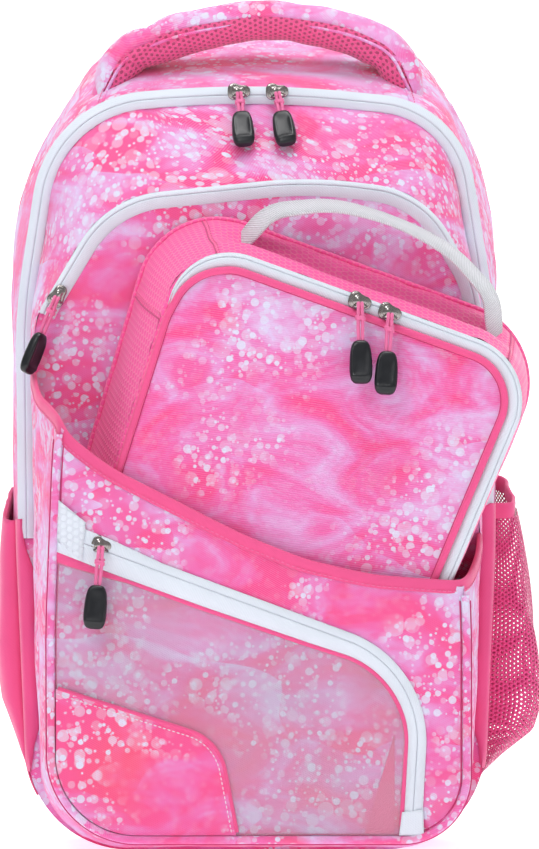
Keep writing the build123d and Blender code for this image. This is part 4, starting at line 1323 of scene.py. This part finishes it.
def lunch_handle():
    """Ribbed white webbing loop, its face turned a little forwards over the top."""
    flat = line(LUNCH_HANDLE, LUNCH_HANDLE_BENDS, spacing=2.5)[0]
    flat = resample(flat, 2.5)
    share = lengths(flat) / lengths(flat)[-1]
    lean = np.radians(15 + 15 * abs(2 * share - 1) ** 1.3)
    out = sideways(flat)
    taper = 0.3 + 0.7 * np.sin(np.clip(np.minimum(share, 1 - share) / 0.13, 0, 1) * np.pi / 2)
    rows = []
    for w, h in ribbon(11.0):
        depth = w * taper * np.cos(lean) - h * np.sin(lean)
        rise = w * taper * np.sin(lean) + h * np.cos(lean)
        rows.append(lunch_plane(flat + out * rise[:, None], LUNCH_HANDLE_Y + depth))
    rows = np.array(rows).transpose(1, 0, 2)
    made = surface("lunch_handle_webbing", rows, WEB_WHITE, None, "white_webbing", "lunch_handle")
    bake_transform(made)


# ---- Zip hardware ----
# middle of the slider (x, z), face of its tape, zip direction, pull lean, tilt, cord length, grip yaw
SLIDERS = {
    "main_left": ((-9.6, 429.0), MAIN_Y - 1.2, 0, -6, 36, 10, 0),
    "main_right": ((12.0, 429.0), MAIN_Y - 1.2, 0, -10, 36, 10, 0),
    "second": ((-110.5, 312.5), SECOND_Y - 1.2, -59, 22, 4, 18, 60),
    "pocket": ((-84.0, 174.8), FRONT_Y - 1.2, 20, 5, 6, 17, 0),
    "lunch_left": ((57.2, 308.0), LUNCH_FRONT_Y - 1.2, 20, -0.5, 10, 17, 0),
    "lunch_right": ((73.7, 302.0), LUNCH_FRONT_Y - 1.2, 20, 4, 10, 17, 0),
}
SLIDER_GAP, SLIDER_THICK, BAIL_HEIGHT, BAIL_DROP, EYE = 0.4, 4.0, 3.4, 3.0, 2.0
GRIP = (12.4, 24.0, 7.0)


def placed(points, origin, turn, tilt=0.0):
    """Local points (right, up, forwards) tilted, then turned clockwise by turn, at origin."""
    points = np.asarray(points, float)
    right, up, forward = points[..., 0], points[..., 1], points[..., 2]
    c, s = math.cos(math.radians(-tilt)), math.sin(math.radians(-tilt))
    up, forward = up * c - forward * s, up * s + forward * c
    c, s = math.cos(math.radians(turn)), math.sin(math.radians(turn))
    return np.stack([origin[0] + right * c + up * s, origin[1] - forward, origin[2] - right * s + up * c], -1)


def shut(rows):
    """Rows of a closed section with its first column repeated and both ends gathered to a point."""
    rows = np.concatenate([rows, rows[:, :1]], 1)
    first = np.broadcast_to(rows[0, :-1].mean(0), rows[:1].shape)
    last = np.broadcast_to(rows[-1, :-1].mean(0), rows[:1].shape)
    return np.concatenate([first, rows, last])


def as_group(rows):
    r, c = rows.shape[:2]
    return rows.reshape(-1, 3), grid_faces(r, c).tolist(), np.zeros((4 * (r - 1) * (c - 1), 2))


def slider(name, place, face_y, turn, lean):
    """Cast slider: two plates with a waist and a shoulder, a crown over them, and a wire bail."""
    top = face_y - SLIDER_GAP
    origin = np.array([place[0], top, place[1]])
    groups = []
    for low, high, grow in ((0.0, 1.3, 1.0), (1.3, 1.9, 0.86), (1.9, 3.0, 0.62), (3.0, 4.0, 0.45)):
        levels = []
        for k, f in ((0, 0.93), (0.25, 1.0), (0.75, 1.0), (1.0, 0.93)):
            a = np.arange(28) * 2 * np.pi / 28
            x = 6.4 * np.sign(np.cos(a)) * abs(np.cos(a)) ** 0.8
            y = 4.6 * np.sign(np.sin(a)) * abs(np.sin(a)) ** 0.7
            y *= 1 - 0.20 * np.exp(-((x - 1.0) / 2.2) ** 2)
            y *= 1 - 0.22 * (x / 6.4)
            levels.append(np.stack([x * f * grow, y * f * grow, 0 * x + low + (high - low) * k], 1))
        groups.append(as_group(shut(placed(np.array(levels), origin, turn))))
    pin = np.array([place[0], top - SLIDER_THICK - BAIL_HEIGHT, place[1]])
    bail = line([(-3.2, -6.2), (-3.6, 0.2), (3.6, 0.2), (3.2, -6.2)], [1.9, 1.9], spacing=0.5)[0]
    wire = np.stack([bail[:, 0], np.full(len(bail), -BAIL_DROP), bail[:, 1]], 1)
    rows = sweep(placed(wire, pin, lean), ring_profile(0.8, 0.8, sides=10))
    groups.append(as_group(shut(rows)))
    body = f"{name}_slider"
    piece(f"{name}_slider_cast", *merge(groups), NICKEL, body, "slider_metal", body)


def pull(name, place, face_y, lean, tilt, length, yaw):
    """A doubled cord looped round the bail, knotted, into a moulded grip."""
    pin = np.array([place[0], face_y - SLIDER_GAP - SLIDER_THICK - BAIL_HEIGHT, place[1]])
    pin = placed([0, -BAIL_DROP, 0], pin, lean)

    def put(local):
        return placed(local, pin, lean, tilt)

    groups = []
    arc = [(0, 1.75 * math.cos(k), 1.75 * math.sin(k)) for k in np.linspace(-2.4, 2.4, 22)]
    for side in (-1, 1):
        bow = [(side * (1.0 + 0.2 * math.sin(k * math.pi)), -1.2 - k * (length + 1.5), 0.9 * (1 - k))
               for k in np.linspace(0, 1, 14)]
        loop = [(side * 1.0, y, z) for _, y, z in arc]
        whole = np.array(loop + [bow[k] for k in range(2, 14)])
        groups.append(as_group(shut(sweep(put(whole), ring_profile(0.98, 0.98, sides=8)))))
    turns = 2.0
    t = np.linspace(0, 1, 60)
    knot_at = -EYE - length * 0.26
    knot = np.stack([2.15 * np.cos(t * turns * 2 * np.pi), knot_at + (t - 0.5) * 2.6 + 0.35 * np.sin(t * 9),
                     1.45 * np.sin(t * turns * 2 * np.pi)], 1)
    groups.append(as_group(shut(sweep(put(knot), ring_profile(0.85, 0.85, sides=8)))))
    body = f"{name}_pull"
    piece(f"{name}_cord", *merge(groups), CORD, body, "pull_cord", f"{body}_loop")
    wide, long, thick = GRIP
    v = np.linspace(0, np.pi, 34)[1:-1]
    a = np.arange(40) * 2 * np.pi / 40
    levels = []
    for k in v:
        up = math.copysign(long / 2 * abs(math.cos(k)) ** 0.7, math.cos(k))
        size = math.sin(k) ** 0.5
        x = wide / 2 * np.sign(np.cos(a)) * abs(np.cos(a)) ** 0.62 * size * (1.0 - 0.16 * up / long)
        z = thick / 2 * np.sign(np.sin(a)) * abs(np.sin(a)) ** 0.7 * size
        dish = np.exp(-((up - 1.0) / 7.5) ** 4) * np.clip(1 - (x / (wide * 0.36)) ** 4, 0, 1)
        ridge = 0.55 * np.exp(-((up + 8.0) / 0.8) ** 2)
        z = np.where(z > 0, z - 1.15 * dish + ridge * (z > 1), z + 0.5 * dish)
        levels.append(np.stack([x, up + 0 * x, z], 1))
    levels = np.array(levels)
    c, s = math.cos(math.radians(yaw)), math.sin(math.radians(yaw))
    levels = np.stack([levels[..., 0] * c + levels[..., 2] * s, levels[..., 1] - EYE - length - long / 2,
                       levels[..., 2] * c - levels[..., 0] * s], -1)
    piece(f"{name}_grip", *merge([as_group(shut(put(levels)))]), RUBBER, body, "grip_rubber", f"{body}_grip")


def hardware():
    for name, (place, face_y, turn, lean, tilt, length, yaw) in SLIDERS.items():
        slider(name, place, face_y, turn, lean)
        pull(name, place, face_y, lean, tilt, length, yaw)


# ---- Camera, light and floor ----
def plate(name, corners):
    """One flat four-cornered stage piece, in metres."""
    mesh = bpy.data.meshes.new(name)
    mesh.from_pydata(corners, [], [(0, 1, 2, 3)])
    made = bpy.data.objects.new(name, mesh)
    bpy.context.scene.collection.objects.link(made)
    return made


def studio():
    scene = bpy.context.scene
    scene.view_settings.view_transform = "Standard"
    data = bpy.data.cameras.new("camera")
    camera = bpy.data.objects.new("camera", data)
    scene.collection.objects.link(camera)
    camera.location = (0.0077, -3.0, 0.2405)
    camera.rotation_euler = (math.radians(90), 0, 0)
    data.lens = 224.0
    data.sensor_width = 36.0
    scene.camera = camera
    world = bpy.data.worlds.new("world")
    scene.world = world
    world.use_nodes = True
    shade = world.node_tree.nodes["Background"]
    shade.inputs[0].default_value = (1.0, 1.0, 1.0, 1)
    shade.inputs[1].default_value = 0.40
    lights = {"key": ((-0.7, -1.5, 1.6), 9.0, 0.6), "fill": ((1.3, -1.6, 0.5), 1.5, 1.2),
              "top": ((0.1, -0.3, 1.9), 16.0, 0.9), "rear": ((0.2, 1.9, 1.1), 9.0, 1.5)}
    for name, (where, power, size) in lights.items():
        lamp = bpy.data.lights.new(name, "AREA")
        lamp.energy = power
        lamp.size = size
        holder = bpy.data.objects.new(name, lamp)
        holder.location = where
        holder.rotation_euler = (Vector((0, 0, 0.24)) - Vector(where)).to_track_quat("-Z", "Y").to_euler()
        scene.collection.objects.link(holder)
    low, far = -0.0006, 14.0
    r = 30.0
    floor = plate("floor", [(-r, -r, low), (r, -r, low), (r, r, low), (-r, r, low)])
    wall = plate("backdrop", [(-r, far, -1), (r, far, -1), (r, far, r), (-r, far, r)])
    n = Nodes("floor")
    tone = n.fit(n.noise(3.0, 2.0), 0.3, 0.7)
    pale = n.mix(tone, (0.93, 0.93, 0.93), (0.90, 0.90, 0.90))
    lit = {"Emission_Color": (1, 1, 1, 1)}
    floor.data.materials.append(n.finish(pale, 0.8, Emission_Strength=0.52, **lit))
    n = Nodes("backdrop")
    wall.data.materials.append(n.finish((0.9, 0.9, 0.9), 0.9, Emission_Strength=0.8, **lit))


studio()
main_compartment()
fronts()
slip_pocket()
zip_pocket()
side_pockets()
carry_handle()
strap(-1, "left")
strap(1, "right")
back()
lunch_bag()
hardware()
